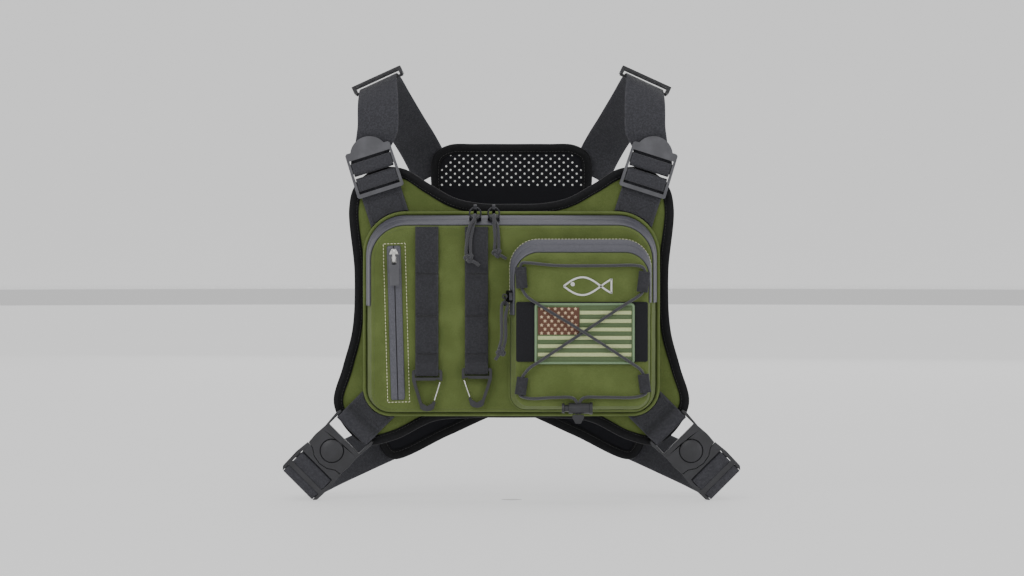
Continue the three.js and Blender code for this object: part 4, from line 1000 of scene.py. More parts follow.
CHEST_HALF = [
    (0, 102), (28, 102.6), (52, 107.5), (76, 120.5), (101, 135), (126, 135), (146, 119),
    (151.5, 98), (146.5, 38), (148.5, -15), (157.5, -50), (166, -84), (152, -111), (134, -123),
    (108, -118), (72, -101), (40, -98), (0, -97.7),
]
BACK_HALF = [
    (0, 158), (34, 158), (60, 157), (74, 148), (77, 130), (71, 70), (63, 10), (70, -45),
    (96, -82), (124, -99), (129, -110), (124, -135), (113, -143.5), (60, -120.7), (14, -100.2),
    (0, -97),
]


# ------------------------------------------------------------------ pockets
@dataclass
class Frame2D:
    """A rounded rectangle in millimetres."""

    left: float
    right: float
    bottom: float
    top: float
    top_radius: float
    bottom_radius: float

    def values(self) -> Array:
        """Its six numbers in metres."""
        return np.array([self.left, self.right, self.bottom, self.top, self.top_radius,
                         self.bottom_radius]) * MM


@dataclass
class Pocket:
    """A zipped pocket: a wall that tapers to a padded front, and a coated zipper over it."""

    name: str
    base: Frame2D
    face: Frame2D
    base_y: float
    shoulder: float
    depth: float
    zip_ends: tuple[float, float]
    count: int = 400
    ply: float = 2.3 * MM
    draw: float = 0.8 * MM

    def section(self, share: float, reach: float = 0.0) -> Array:
        """The wall's outline: 0 at the seam, 1 at the shoulder and 2 at the rim.

        Args:
            share: the place along the wall.
            reach: how far outside the wall the outline lies.
        Returns:
            The outline's points (x, z).
        """
        grow = np.array([-1, 1, -1, 1, 1, 1])
        base, face = self.base.values(), self.face.values()
        middle = base - grow * self.draw
        box = base + (middle - base) * share if share <= 1 else middle + (face - middle) * (share - 1)
        return rounded(*(box + grow * reach), count=self.count)

    def level(self, share: float) -> float:
        """The depth of a place along the wall."""
        if share <= 1:
            return self.base_y - self.shoulder * share
        return self.base_y - self.shoulder - (self.depth - self.shoulder) * (share - 1)

    def shell(self) -> bpy.types.Object:
        """One continuous cloth shell from the seam over the rim to the crowned front."""
        rim, front = self.level(2), self.level(2) - self.ply
        loops = [at_level(self.section(0, -2.5 * MM), self.base_y)]
        for share in (0, 0.12, 0.3, 0.5, 0.7, 0.88, 1, 1.12, 1.3, 1.5, 1.7, 1.88):
            bulge = -0.35 * MM + 0.35 * MM * np.sin(np.pi * share / 2)
            loop = self.section(share, bulge)
            pull = np.abs(ripple(loop, 0.5 * MM, 17 * MM)) * np.sin(np.pi * share / 2)
            loop = loop - outward(loop) * pull[:, None]
            loops.append(at_level(loop, self.level(share)))
        for inset, drop in ((0.2, 0.1), (0.25, 0.4), (0.7, 0.72), (1.6, 0.9), (3.4, 0.97)):
            loops.append(at_level(self.section(2, -inset * MM), rim - self.ply * drop + 0.1 * MM))
        edge = self.section(2, -5 * MM)
        middle = np.array([edge[:, 0].mean(), edge[:, 1].mean()])
        for share in 1 - np.linspace(0, 1, 24) ** 0.9 * 0.99:
            flat = middle + (edge - middle) * share
            near = min(1.0, (1 - share) * 14)
            sag = np.abs(ripple(flat, 0.42 * MM, 19 * MM)) * near
            loops.append(at_level(flat, front + 0.12 * MM + sag))
        grid = np.stack(loops)
        flat = np.concatenate([grid, grid[:, :1]], 1)
        run = distances(grid[:, self.count // 4], False)
        around = distances(self.as_path(0), True)
        wall = 19

        def uv(i: Array, j: Array) -> Array:
            """Round the wall and down it, then flat across the front."""
            on_wall = i < wall
            side = np.stack([around[j], run[i]], -1)
            return np.where(on_wall[..., None], side, flat[i, j][..., [0, 2]])

        piece = sheet(f"{self.name}_shell", grid, wrap_cols=True, uv=uv)
        self.close_back(piece)
        return settle(piece, Finish.OLIVE, Body.VEST,
                      f"{self.name}_gusset", f"{self.name}_front")

    def close_back(self, piece: bpy.types.Object) -> None:
        """Gives the shell its cloth's thickness on the inside."""
        solid = piece.modifiers.new("cloth", "SOLIDIFY")
        solid.thickness = 0.9 * MM
        solid.offset = -1
        LOG.debug("%s has a lining", piece.name)

    def as_path(self, share: float) -> Array:
        """The wall's outline as points in space."""
        return at_level(self.section(share), self.level(share))

    def over_top(self, share: float, reach: float, count: int = 260) -> Array:
        """The line that the zipper follows: up the right side, over the top, down the left."""
        grow = np.array([-1, 1, -1, 1, 1, 1])
        base, face = self.base.values(), self.face.values()
        middle = base - grow * self.draw
        box = middle + (face - middle) * (share - 1) + grow * reach
        left, right, _, top, radius, _ = box
        turn = np.radians(np.linspace(0, 90, 17))
        right_arc = np.stack([right - radius + radius * np.cos(turn),
                              top - radius + radius * np.sin(turn)], 1)
        left_arc = np.stack([left + radius - radius * np.sin(turn),
                             top - radius + radius * np.cos(turn)], 1)
        ends = np.array([self.zip_ends]) * MM
        line = np.vstack([[right, ends[0, 1]], right_arc, left_arc, [left, ends[0, 0]]])
        return at_level(even(line, count), self.level(share))

    def zipper(self) -> bpy.types.Object:
        """The coated tape: two lips that meet at a slit, with turned-down edges."""
        shares = np.array([1.0, 1.02, 1.1, 1.3, 1.44, 1.485, 1.5, 1.515, 1.56, 1.7, 1.9, 1.985, 2.0])
        rises = np.array([0.35, 1.2, 1.5, 1.55, 1.65, 1.5, 0.9, 1.5, 1.65, 1.55, 1.5, 1.2, 0.35])
        top = [self.over_top(s, r * MM) for s, r in zip(shares, rises)]
        under = [self.over_top(s, 0.3 * MM) for s in (1.99, 1.5, 1.01)]
        grid = np.stack([*top, *under], 1)
        wide = distances(grid[len(grid) // 2], True)
        wide = wide - wide[6]
        run = distances(grid[:, 6], False)
        piece = sheet(f"{self.name}_zip_band", grid, wrap_cols=True, caps=True,
                      uv=lambda i, j: np.stack([wide[j], run[i]], -1))
        node = self.name.replace("_pocket", "") + "_zipper_tape"
        return settle(piece, Finish.ZIPPER, Body.VEST, node)

    def seam(self, share: float, reach: float, finish: Finish, tag: str, whole: bool = False,
             pitch: float = 3 * MM, thick: float = 0.42 * MM) -> bpy.types.Object:
        """A row of stitches round the wall.

        Args:
            share: the place along the wall.
            reach: how far it stands off the wall.
            finish: the thread.
            tag: the end of the piece's name.
            whole: all the way round instead of over the top.
            pitch: from stitch to stitch.
            thick: the thread's thickness.
        Returns:
            The piece.
        """
        if whole:
            flat = self.section(share, reach)
            line = at_level(flat, self.level(share))
            line = np.vstack([line, line[:1]])
        else:
            line = self.over_top(max(share, 1.0), reach)
            line[:, 1] = self.level(share)
        side = slopes(line)
        out = np.cross(side, [0, 1, 0])
        middle = line.mean(0)
        out *= np.sign(np.einsum("ij,ij->i", out, line - middle))[:, None]
        out = out * 0.5 + np.array([0, -0.86, 0])
        return settle(stitches(f"{self.name}_{tag}", line, out, pitch, thick), finish, Body.VEST)


@dataclass
class MainPocket(Pocket):
    """The large pocket, with a corded seam where it meets the panel."""

    piping: float = 3.6 * MM

    def cord_seam(self) -> bpy.types.Object:
        """The piping: a cord in a fold of cloth that runs round the seam."""
        flat = self.section(0, 0.3 * MM + self.piping / 2)
        line = at_level(flat, self.base_y - self.piping / 2)
        return settle(tube("main_seam_piping", line, self.piping * 0.98, 12, closed=True),
                      Finish.PIPING, Body.VEST, "main_pocket_piping")

    def build(self) -> None:
        """Makes the shell, its zipper, piping and seams."""
        self.shell()
        self.zipper()
        self.cord_seam()
        edge = self.section(2, -3.0 * MM)
        line = at_level(edge, self.level(2) - self.ply + 0.1 * MM)
        line = np.vstack([line, line[:1]])
        out = np.broadcast_to([0.0, -1.0, 0.0], line.shape)
        settle(stitches("main_pocket_edge_stitching", line, out, 2.6 * MM, 0.3 * MM),
               Finish.OLIVE_THREAD, Body.VEST)


@dataclass
class FrontPocket(Pocket):
    """The small pocket on the right, with contrast stitching over its zipper."""

    def build(self) -> None:
        """Makes the shell, its zipper, its seams and the welt round its foot."""
        self.shell()
        self.zipper()
        self.seam(0.9, 1.0 * MM, Finish.CREAM, "contrast_stitching",
                  pitch=3.1 * MM, thick=0.8 * MM)
        base = self.section(0, 0.35 * MM)
        line = at_level(base, self.base_y - 0.9 * MM)
        keep = line[:, 2] < 0.0
        start = int(np.argmax(keep & ~np.roll(keep, 1)))
        foot = np.roll(line, -start, 0)[:int(keep.sum())]
        settle(tube("front_pocket_welt", foot, 1.5 * MM, 10), Finish.PIPING, Body.VEST)


@dataclass
class SlitPocket:
    """The zipped slit at the left of the main pocket's front."""

    x: float = -106.9 * MM
    z: float = -7.5 * MM
    width: float = 13 * MM
    length: float = 143 * MM
    lean: float = np.radians(1.6)
    back: float = -47.2 * MM

    def turn(self, points: Array) -> Array:
        """Places points of the slit's own frame, leaning with it."""
        c, s = np.cos(self.lean), np.sin(self.lean)
        x, z = points[..., 0], points[..., 2]
        return np.stack([x * c - z * s + self.x, points[..., 1] + self.back, x * s + z * c + self.z], -1)

    def build(self) -> None:
        """Two coated lips that meet at a slit, in a rectangle of contrast stitching."""
        half = self.width / 2
        across = np.array([-1, -0.96, -0.8, -0.4, -0.12, -0.03, 0, 0.03, 0.12, 0.4, 0.8, 0.96, 1]) * half
        rise = np.array([0.1, 0.7, 1.0, 1.15, 1.18, 1.0, 0.45, 1.0, 1.18, 1.15, 1.0, 0.7, 0.1]) * MM
        along = np.linspace(-0.5, 0.5, 90) * self.length
        ends = np.minimum(1, (0.5 - np.abs(along / self.length)) * 60 + 0.12)
        x = np.broadcast_to(across, (90, 13)) * (0.82 + 0.18 * np.minimum(1, ends * 1.1))[:, None]
        top = np.stack([x, -rise[None] * ends[:, None], np.broadcast_to(along[:, None], x.shape)], -1)
        under = top[:, [12, 6, 0]] * [1, 0, 1]
        grid = self.turn(np.concatenate([top, under], 1))
        wide = np.concatenate([across, across[[12, 6, 0]] * 0 + 6 * MM, [across[0]]])
        piece = sheet("slit_zip_band", grid, wrap_cols=True, caps=True,
                      uv=lambda i, j: np.stack([wide[j], along[i]], -1))
        settle(piece, Finish.ZIPPER, Body.VEST, "slit_zipper_tape")
        box = np.array([(-9.6, 73.2), (-9.6, -73.4), (10.6, -73.4), (10.6, 73.2), (-9.6, 73.2)]) * MM
        line = even(np.stack([box[:, 0], box[:, 0] * 0 + 0.3 * MM, box[:, 1]], 1), 420)
        line = self.turn(line)
        out = np.broadcast_to([0.0, -1.0, 0.0], line.shape)
        settle(stitches("slit_contrast_stitching", line, out, 3.1 * MM, 0.72 * MM),
               Finish.CREAM, Body.VEST)


# ------------------------------------------------------------------ load webbing and hooks
def bar_tack(name: str, left: Array, right: Array, out: Array, rows: int = 2) -> bpy.types.Object:
    """Close rows of thread that hold webbing down.

    Args:
        name: the piece's name.
        left: one end.
        right: the other end.
        out: away from the cloth.
        rows: how many rows lie side by side.
    Returns:
        The piece.
    """
    side = np.cross(right - left, out)
    side = side / np.linalg.norm(side) * 0.75 * MM
    lines = [np.linspace(left, right, 12) + side * (k - (rows - 1) / 2) for k in range(rows)]
    parts = [stitches(f"{name}_{k}", line, np.broadcast_to(out, line.shape), 0.8 * MM, 0.5 * MM, 1.15)
             for k, line in enumerate(lines)]
    return joined(name, parts)


def joined(name: str, parts: list[bpy.types.Object]) -> bpy.types.Object:
    """Several new pieces as one, their vertices stacked in order."""
    vertices, faces, uv, start = [], [], [], 0
    for part in parts:
        mesh = part.data
        co = np.empty(len(mesh.vertices) * 3)
        mesh.vertices.foreach_get("co", co)
        flat = np.empty(len(mesh.loops) * 2, np.float32)
        mesh.uv_layers["cloth"].data.foreach_get("uv", flat)
        vertices.append(co.reshape(-1, 3))
        uv.append(flat.reshape(-1, 2))
        faces += [[v + start for v in face.vertices] for face in mesh.polygons]
        start += len(mesh.vertices)
        bpy.data.objects.remove(part)
    return make(name, np.vstack(vertices), faces, np.vstack(uv))


@dataclass
class LoadStrap:
    """Webbing tacked down the main pocket, ending in a loop through a carabiner."""

    side: str
    x: float
    pivot_z: float
    width: float = 21.4
    top: float = 81.4
    tacks: tuple[float, ...] = (38, -1, -36.5)
    bulge: float = 2.6
    tail: float = -40.5
    face: float = -46.9
    bar: float = 1.5
    hook: float = 4.5

    def line(self) -> Array:
        """The webbing's middle line as (z, y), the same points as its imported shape."""
        web, gap = WEB / MM, GAP / MM
        radius = np.hypot(self.bar, self.hook / 2) + gap + web / 2
        hook_y = self.face - gap - web / 2 - radius
        flat = self.face - gap - web / 2
        sewn = [self.top, *self.tacks]
        points = []
        for k, z in enumerate(sewn):
            last = k == len(sewn) - 1
            points.append((z, flat - web - gap if last else flat))
            if not last:
                reach = z - sewn[k + 1]
                points += [(z - reach * 0.3, flat - self.bulge), (z - reach * 0.7, flat - self.bulge)]
        turn = np.radians([0, 45, 90, 135, 180])
        points.append((self.pivot_z + 5, hook_y - radius))
        points += list(zip(self.pivot_z - radius * np.sin(turn), hook_y - radius * np.cos(turn)))
        points += [(self.pivot_z + 5, flat), (self.tail, flat)]
        return np.array(points) * MM

    def build(self) -> None:
        """The webbing and the bar tacks across it."""
        zy = spline(self.line(), 180)
        middle = np.stack([np.full(len(zy), self.x * MM), zy[:, 1], zy[:, 0]], 1)
        across = np.broadcast_to([1.0, 0, 0], middle.shape)
        settle(webbing(f"load_webbing_{self.side}", middle, across, self.width * MM),
               Finish.LOAD_STRAP, Body.VEST, f"molle_strap_{self.side}")
        flat = (self.face - 0.3 - 1.6) * MM
        parts = []
        for k, z in enumerate((self.top - 1.6, *self.tacks)):
            y = flat - (1.9 * MM if k == 3 else 0)
            ends = [np.array([self.x * MM + s * self.width * MM * 0.47, y, z * MM]) for s in (-1, 1)]
            parts.append(bar_tack(f"tack_{k}", *ends, np.array([0.0, -1.0, 0.0]), 3))
        settle(joined(f"load_webbing_tacks_{self.side}", parts), Finish.BLACK_THREAD, Body.VEST)


@dataclass
class WireGate:
    """The carabiner's sprung gate, one bent wire."""

    side: str
    pivot: tuple[float, float, float]
    below: float
    flip: int
    body: Body

    def build(self) -> None:
        """The wire runs down to the nose and back up, a little apart at the nose."""
        hinge = np.array([14 - 1.7 - 0.4, -5.6 - 2.8 - 1.2])
        nose = np.array([6.8, -self.below + 6.6])
        mid = (hinge + nose) / 2
        w = 1.5
        points = np.array([
            (hinge[0], -w * 0.55, hinge[1]), (mid[0], -w * 0.62, mid[1]),
            (nose[0], -w * 0.62, nose[1] + 0.6), (nose[0] - 0.1, 0, nose[1] - 0.3),
            (nose[0], w * 0.62, nose[1] + 0.6), (mid[0], w * 0.62, mid[1]),
            (hinge[0], w * 0.55, hinge[1])]) * MM
        points *= [self.flip, 1, 1]
        line = spline(points + np.array(self.pivot) * MM, 60)
        settle(tube(f"wire_gate_{self.side}", line, w * 0.9 * MM, 12), Finish.STEEL, self.body,
               f"gate_{self.side}")


# ------------------------------------------------------------------ laced front
@dataclass
class Tab:
    """A folded webbing tab that the elastic cord runs through."""

    name: str
    x: float
    z: float
    height: float
    lean: float

    def point(self, up: float, y: float) -> list[float]:
        """A point on the channel, a distance up from its middle, in millimetres."""
        angle = np.radians(self.lean)
        return [self.x + up * np.sin(angle), y, self.z + up * np.cos(angle)]


@dataclass
class Lacing:
    """Elastic cord laced across the front pocket through four tabs and a cord lock."""

    cord: float = 2.8
    width: float = 10.5
    depth: float = 6.8
    front: float = -70.5
    over: float = -76.0
    lock: tuple[float, float, float] = (61.4, -76.7, -85.2)
    crossing: tuple[float, float] = (66.5, -15.0)
    tabs: tuple[Tab, ...] = (
        Tab("upper_left", 9, 35, 19.5, -4), Tab("upper_right", 121.4, 31.2, 19, 7),
        Tab("lower_left", 9.2, -64.8, 16.2, 8), Tab("lower_right", 122.4, -62.5, 17, -8))

    def through(self, name: str, way: int) -> list[list[float]]:
        """The cord's points through a tab: up (1) or down (-1)."""
        tab = next(t for t in self.tabs if t.name == name)
        half = tab.height / 2
        middle = self.front - GAP / MM - self.depth / 2
        return [tab.point(way * up, middle) for up in (-half - 0.6, -half * 0.85, half * 0.85, half + 0.6)]

    def route(self) -> Array:
        """The cord's points in order, from one strand in the lock round to the other."""
        x, y, z = self.lock
        s = self.cord / 2 + 0.15
        m, o, c = self.front - GAP / MM - self.depth / 2, self.over, self.crossing
        return np.array([
            [x - s, y, z - 5.6], [x - s, y, z], [x - s, y, z + 5.6], [x - 5, y + 1, z + 9.4],
            [40, m, -75.4], [16, m, -76.2], *self.through("lower_left", 1),
            [16, m - 1.5, -48.8], [26, o, -42], [c[0], o - 0.1, c[1]], [104, o, 10],
            [114.5, m - 0.8, 16.4], *self.through("upper_right", 1),
            [120.6, m, 44.6], [114, m, 46.2], [90, m + 0.4, 46], [40, m + 0.4, 46.2],
            [15, m, 48.6], [9.6, m, 48.4], *self.through("upper_left", -1),
            [14.6, m - 1.2, 17.5], [28, o, 8.4], [c[0], o - self.cord - 0.5, c[1]],
            [111, o, -44], [118, m - 1.2, -49], *self.through("lower_right", -1),
            [115, m, -75], [84, m, -75.2], [x + 5, y + 1, z + 9.4],
            [x + s, y, z + 5.6], [x + s, y, z], [x + s, y, z - 5.6]]) * MM

    def sleeve(self, tab: Tab) -> bpy.types.Object:
        """A fold of webbing: a flattened loop round the cord, sewn down beside it."""
        angle = np.linspace(0, 2 * np.pi, 40, endpoint=False)
        c, s = np.cos(angle), np.sin(angle)
        outer = np.stack([np.sign(c) * np.abs(c) ** 0.62 * self.width / 2,
                          np.sign(s) * np.abs(s) ** 0.8 * self.depth / 2], 1)
        outer[:, 1] = np.where(outer[:, 1] > 0, np.minimum(outer[:, 1] * 1.3, self.depth / 2), outer[:, 1])
        inner = np.stack([c, s], 1) * 2.1
        half = tab.height / 2
        middle = np.array([tab.x, self.front - GAP / MM - self.depth / 2, tab.z])
        stations = [(outer * 0.96, -half), (outer, -half + 0.5), (outer * 0.985, -half * 0.4),
                    (outer * 0.985, half * 0.4), (outer, half - 0.5), (outer * 0.96, half),
                    (inner, half - 0.2), (inner, -half + 0.2)]
        lean = np.radians(tab.lean)
        loops = []
        for section, up in stations:
            x, z = section[:, 0], np.full(40, up)
            loops.append(np.stack([x * np.cos(lean) + z * np.sin(lean), section[:, 1],
                                   z * np.cos(lean) - x * np.sin(lean)], 1) + middle)
        grid = np.stack(loops) * MM
        around = distances(grid[2], True)
        up = np.array([k[1] for k in stations] + [0]) * MM
        return sheet(f"cord_tab_{tab.name}", grid, wrap_rows=True, wrap_cols=True,
                     uv=lambda i, j: np.stack([np.minimum(up[i % 8], 6 * MM), around[j]], -1))

    def build(self) -> None:
        """The cord, and its tabs with their stitching."""
        line = even(spline(self.route(), 1500), 620)
        settle(tube("laced_cord", line, self.cord * MM, 12), Finish.CORD, Body.VEST, "bungee_cord")
        for tab in self.tabs:
            settle(self.sleeve(tab), Finish.LOAD_STRAP, Body.VEST, f"bungee_tab_{tab.name}")
            inner = 1 if tab.x > 60 else -1
            ends = [np.array(tab.point(up, self.front - GAP / MM - self.depth * 0.72)) for up in
                    (-tab.height * 0.42, tab.height * 0.42)]
            shift = np.array([inner * self.width * 0.40, 0, 0])
            settle(bar_tack(f"cord_tab_tack_{tab.name}", (ends[0] + shift) * MM, (ends[1] + shift) * MM,
                            np.array([inner * 0.5, -0.86, 0.0]), 2), Finish.BLACK_THREAD, Body.VEST)


# ------------------------------------------------------------------ loop panel and patch
@dataclass
class Patch:
    """A band of loop pile across the front pocket and the striped patch that sticks to it."""

    band: tuple[float, float, float, float] = (4.2, 125.6, -42.6, 12.6)
    patch: tuple[float, float, float, float] = (21.1, 113.6, -44.9, 11.7)
    back: float = -70.8
    band_ply: float = 1.4
    patch_ply: float = 1.8
    border: float = 3.2
    canton: tuple[float, float] = (0.445, 0.46)

    def plate(self, name: str, box: tuple[float, float, float, float], back: float, front: float,
              radius: float) -> bpy.types.Object:
        """A flat piece with soft corners and a rolled edge."""
        outline = rounded(*(np.array(box) * MM), radius * MM, radius * MM, 160)
        middle = np.array([box[0] + box[1], box[2] + box[3]]) * MM / 2
        ply = (back - front) * MM
        levels = [(0.5 * MM, back * MM), (0.05 * MM, back * MM - ply * 0.3),
                  (0.1 * MM, back * MM - ply * 0.75), (0.9 * MM, front * MM)]
        return pillow(name, outline, levels, middle, None, 10, back * MM)

    def field(self, name: str, box: tuple[float, float, float, float], y: float,
              ) -> bpy.types.Object:
        """A block of satin stitches: slightly crowned between its long edges."""
        left, right, bottom, top = (np.array(box)) * MM
        u, v = np.meshgrid(np.linspace(left, right, 24), np.linspace(bottom, top, 9), indexing="ij")
        share = (v - bottom) / (top - bottom)
        rise = np.sin(np.pi * np.clip(share, 0, 1)) ** 0.5 * 0.32 * MM
        grid = np.stack([u, y * MM - rise, v], -1)
        under = grid[:, ::-1][:, [0, 4, 8]].copy()
        under[..., 1] = y * MM + 0.25 * MM
        whole = np.concatenate([grid, under], 1)
        points = np.concatenate([whole, whole[:, :1]], 1)
        return sheet(name, whole, wrap_cols=True, caps=True,
                     uv=lambda i, j: np.stack([points[i, j][..., 0], points[i, j][..., 2]], -1))

    def star(self, x: float, z: float, y: float, size: float) -> tuple[Array, Array]:
        """A five-pointed star with a raised middle: its vertices and triangles."""
        turn = np.radians(90 + 36 * np.arange(10))
        reach = np.where(np.arange(10) % 2 == 0, size, size * 0.42)
        rim = np.stack([x + reach * np.cos(turn), np.full(10, y), z + reach * np.sin(turn)], 1)
        points = np.vstack([rim, [[x, y - 0.3, z]], [[x, y + 0.4, z]]]) * MM
        ring = np.arange(10)
        front = np.stack([ring, np.roll(ring, -1), np.full(10, 10)], 1)[:, ::-1]
        back = np.stack([ring, np.roll(ring, -1), np.full(10, 11)], 1)
        return points, np.vstack([front, back])

    def stars(self, box: tuple[float, float, float, float], y: float) -> bpy.types.Object:
        """Staggered rows of stars over the canton."""
        left, right, bottom, top = box
        vertices, faces = [], []
        for row in range(7):
            wide = row % 2 == 0
            for k in range(6 if wide else 5):
                x = left + (right - left) * ((k + 0.55) / 6.1 if wide else (k + 1.05) / 6.1)
                z = top - (top - bottom) * (row + 0.62) / 7.2
                points, triangles = self.star(x, z, y, 1.9)
                faces.append(triangles + 12 * len(vertices))
                vertices.append(points)
        whole = np.vstack(faces)
        points = np.vstack(vertices)
        uv = points[whole][..., [0, 2]].reshape(-1, 2)
        return make("patch_stars", points, whole, uv, smooth=False)

    def build(self) -> None:
        """The band, the patch, its border, stripes, canton and stars."""
        band_front = self.back - self.band_ply
        settle(self.plate("loop_band", self.band, self.back, band_front, 1.2), Finish.PILE,
               Body.VEST, "loop_panel")
        back = band_front - GAP / MM
        front = back - self.patch_ply * 0.62
        settle(self.plate("patch_cloth", self.patch, back, front, 3), Finish.DARK_STRIPE,
               Body.VEST, "patch")
        left, right, bottom, top = self.patch
        rim = rounded(left * MM + 1.3 * MM, right * MM - 1.3 * MM, bottom * MM + 1.3 * MM,
                      top * MM - 1.3 * MM, 2.4 * MM, 2.4 * MM, 300)
        settle(tube("patch_border", at_level(rim, (front + 0.35) * MM), 2.1 * MM, 12, closed=True),
               Finish.BORDER, Body.VEST)
        inner = (left + self.border, right - self.border, bottom + self.border, top - self.border)
        tall = (inner[3] - inner[2]) / 13
        split_x = inner[0] + (inner[1] - inner[0]) * self.canton[0]
        split_z = inner[3] - tall * 7
        pale, dark = [], []
        for k in range(13):
            high = inner[3] - tall * k
            start = split_x + 0.2 if high > split_z + tall * 0.5 else inner[0]
            box = (start, inner[1], high - tall + 0.18, high - 0.18)
            (pale if k % 2 else dark).append(self.field(f"stripe_{k}", box, front))
        settle(joined("patch_pale_stripes", pale), Finish.PALE_STRIPE, Body.VEST)
        settle(joined("patch_dark_stripes", dark), Finish.DARK_STRIPE, Body.VEST)
        canton = (inner[0], split_x - 0.2, split_z + 0.15, inner[3])
        settle(self.field("patch_canton", canton, front + 0.05), Finish.CANTON, Body.VEST)
        settle(self.stars(canton, front - 0.3), Finish.STAR, Body.VEST)


@dataclass
class FishPrint:
    """A plain fish outline printed above the loop band."""

    x: float = 70.0
    z: float = 27.0
    y: float = -70.62
    length: float = 44.0
    stroke: float = 1.7

    def build(self) -> None:
        """Two arcs that cross before the tail, and a round eye, as flat strokes."""
        t = np.linspace(0, 1, 60)
        half = self.length / 2
        x = self.x - half + t * self.length
        bow = np.sin(np.pi * np.minimum(t / 0.78, 1.35)) * 8.2
        parts = []
        for k, sign in enumerate((1, -1)):
            line = np.stack([x, np.full(60, self.y), self.z + sign * bow], 1) * MM
            parts.append(self.ribbon(f"fish_{k}", line))
        tail = np.array([[self.x + half, self.y, self.z - 6.9], [self.x + half, self.y, self.z + 6.9]]) * MM
        parts.append(self.ribbon("fish_tail", np.linspace(*tail, 8)))
        turn = np.linspace(0, 2 * np.pi, 24)
        eye = np.stack([self.x - half * 0.62 + 1.1 * np.cos(turn), np.full(24, self.y - 0.02),
                        self.z + 1.8 + 1.1 * np.sin(turn)], 1) * MM
        parts.append(self.ribbon("fish_eye", eye))
        settle(joined("pocket_print", parts), Finish.PRINT, Body.VEST)

    def ribbon(self, name: str, line: Array) -> bpy.types.Object:
        """A stroke of even width and a print's thickness."""
        side = np.cross(slopes(line), [0, 1, 0]) * self.stroke * MM / 2
        out = np.array([0, 0.06 * MM, 0])
        grid = np.stack([line - side + out, line - side - out, line + side - out, line + side + out], 1)
        return sheet(name, grid, wrap_cols=True, caps=True)


# ------------------------------------------------------------------ pulls and rings
def knot_line(centre: Array, size: float, lean: float) -> Array:
    """An overhand knot's line: a trefoil, x = sin t + 2 sin 2t, z = cos t - 2 cos 2t,
    y = -sin 3t, drawn small and leaning by an angle."""
    t = np.linspace(0, 2 * np.pi, 90, endpoint=False)
    x, z, y = np.sin(t) + 2 * np.sin(2 * t), np.cos(t) - 2 * np.cos(2 * t), -np.sin(3 * t)
    c, s = np.cos(lean), np.sin(lean)
    return centre + size * np.stack([x * c - z * s, y * 0.95, x * s + z * c], 1)


@dataclass
class CordPull:
    """A knotted cord loop on a slider's ring: two strands, a knot and a tail."""

    name: str
    body: Body
    first: list[tuple[float, float, float]]
    second: list[tuple[float, float, float]]
    knot: tuple[float, float, float]
    lean: float
    diameter: float = 3.0

    def strand(self, tag: str, points: list[tuple[float, float, float]],
               nodes: tuple[str, ...]) -> None:
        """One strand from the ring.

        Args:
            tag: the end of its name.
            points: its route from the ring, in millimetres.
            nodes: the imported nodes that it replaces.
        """
        line = even(spline(np.array(points) * MM, 400), 90)
        piece = settle(tube(f"{self.name}_{tag}", line, self.diameter * MM, 12),
                       Finish.CORD, self.body, *nodes)
        self.diameter * MM

    def build(self) -> None:
        """The knot, then the strand that ends in it and the one that passes through it."""
        centre = np.array(self.knot) * MM
        knot = settle(tube(f"{self.name}_knot", knot_line(centre, 1.22 * MM, self.lean), 2.9 * MM,
                           12, closed=True), Finish.CORD, self.body)
        self.strand("strand_a", self.first, (self.name,))
        self.strand("strand_b", self.second, ())


@dataclass
class SplitRing:
    """A slider's wire ring."""

    name: str
    body: Body
    radius: float
    upright: bool

    def build(self) -> None:
        """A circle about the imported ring's middle, square to the front or along it."""
        low, high = (np.array(corner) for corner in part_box(self.name))
        centre = (low + high) / 2
        t = np.linspace(0, 2 * np.pi, 64, endpoint=False)
        c, s = np.cos(t) * self.radius * MM, np.sin(t) * self.radius * MM
        zero = np.zeros(64)
        line = np.stack([zero, c, s] if self.upright else [c, zero, s], 1) + centre
        settle(tube(f"{self.name}_wire", line, 1.55 * MM, 12, closed=True), Finish.BLACK_METAL,
               self.body, self.name)


def main_pull_routes(x: float, eye: tuple[float, float], lie: tuple[float, float, float],
                     tail: tuple[float, float]) -> tuple[list, list]:
    """The two strands of a main pull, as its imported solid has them.

    Args:
        x: the slider's place.
        eye: (y, z) of the slider's eye.
        lie: (x, y, z) where the knot lies.
        tail: how far the tail reaches from the knot in x and z.
    Returns:
        The strand behind, which ends in the knot, and the one in front with its tail.
    """
    foot = eye[1] - 2 * 5.2
    apart, bight, swing = 1.6, 0.8 + 0.3 + 1.5 + 0.5, lie[0] - x
    top = (x + swing * 0.05, eye[0], foot + 0.8 + bight)
    behind = [
        top, (x + swing * 0.05, eye[0] + bight * 0.7, foot + bight * 0.75),
        (x + swing * 0.1 + apart * 0.3, eye[0] + bight, foot + 0.3),
        (x + swing * 0.2 + apart * 0.6, eye[0] + bight * 0.8, foot - 2.4),
        (x + swing * 0.6 + apart, (eye[0] + lie[1]) / 2 - 0.4, foot - 6.6),
        (lie[0] + apart, lie[1], foot - 19), (lie[0] + apart, lie[1], lie[2] + 1)]
    ahead = [
        top, (x + swing * 0.05, eye[0] - bight * 0.7, foot + bight * 0.75),
        (x + swing * 0.1, eye[0] - bight, foot + 0.3),
        (x + swing * 0.6 - apart * 0.8, (eye[0] + lie[1]) / 2 - bight * 0.8, foot - 6),
        (lie[0] - apart, lie[1] - 0.4, foot - 19), (lie[0] - apart, lie[1], lie[2]),
        (lie[0] + tail[0] * 0.5, lie[1] - 1.4, lie[2] + tail[1] * 0.5),
        (lie[0] + tail[0], lie[1] - 0.4, lie[2] + tail[1])]
    return behind, ahead


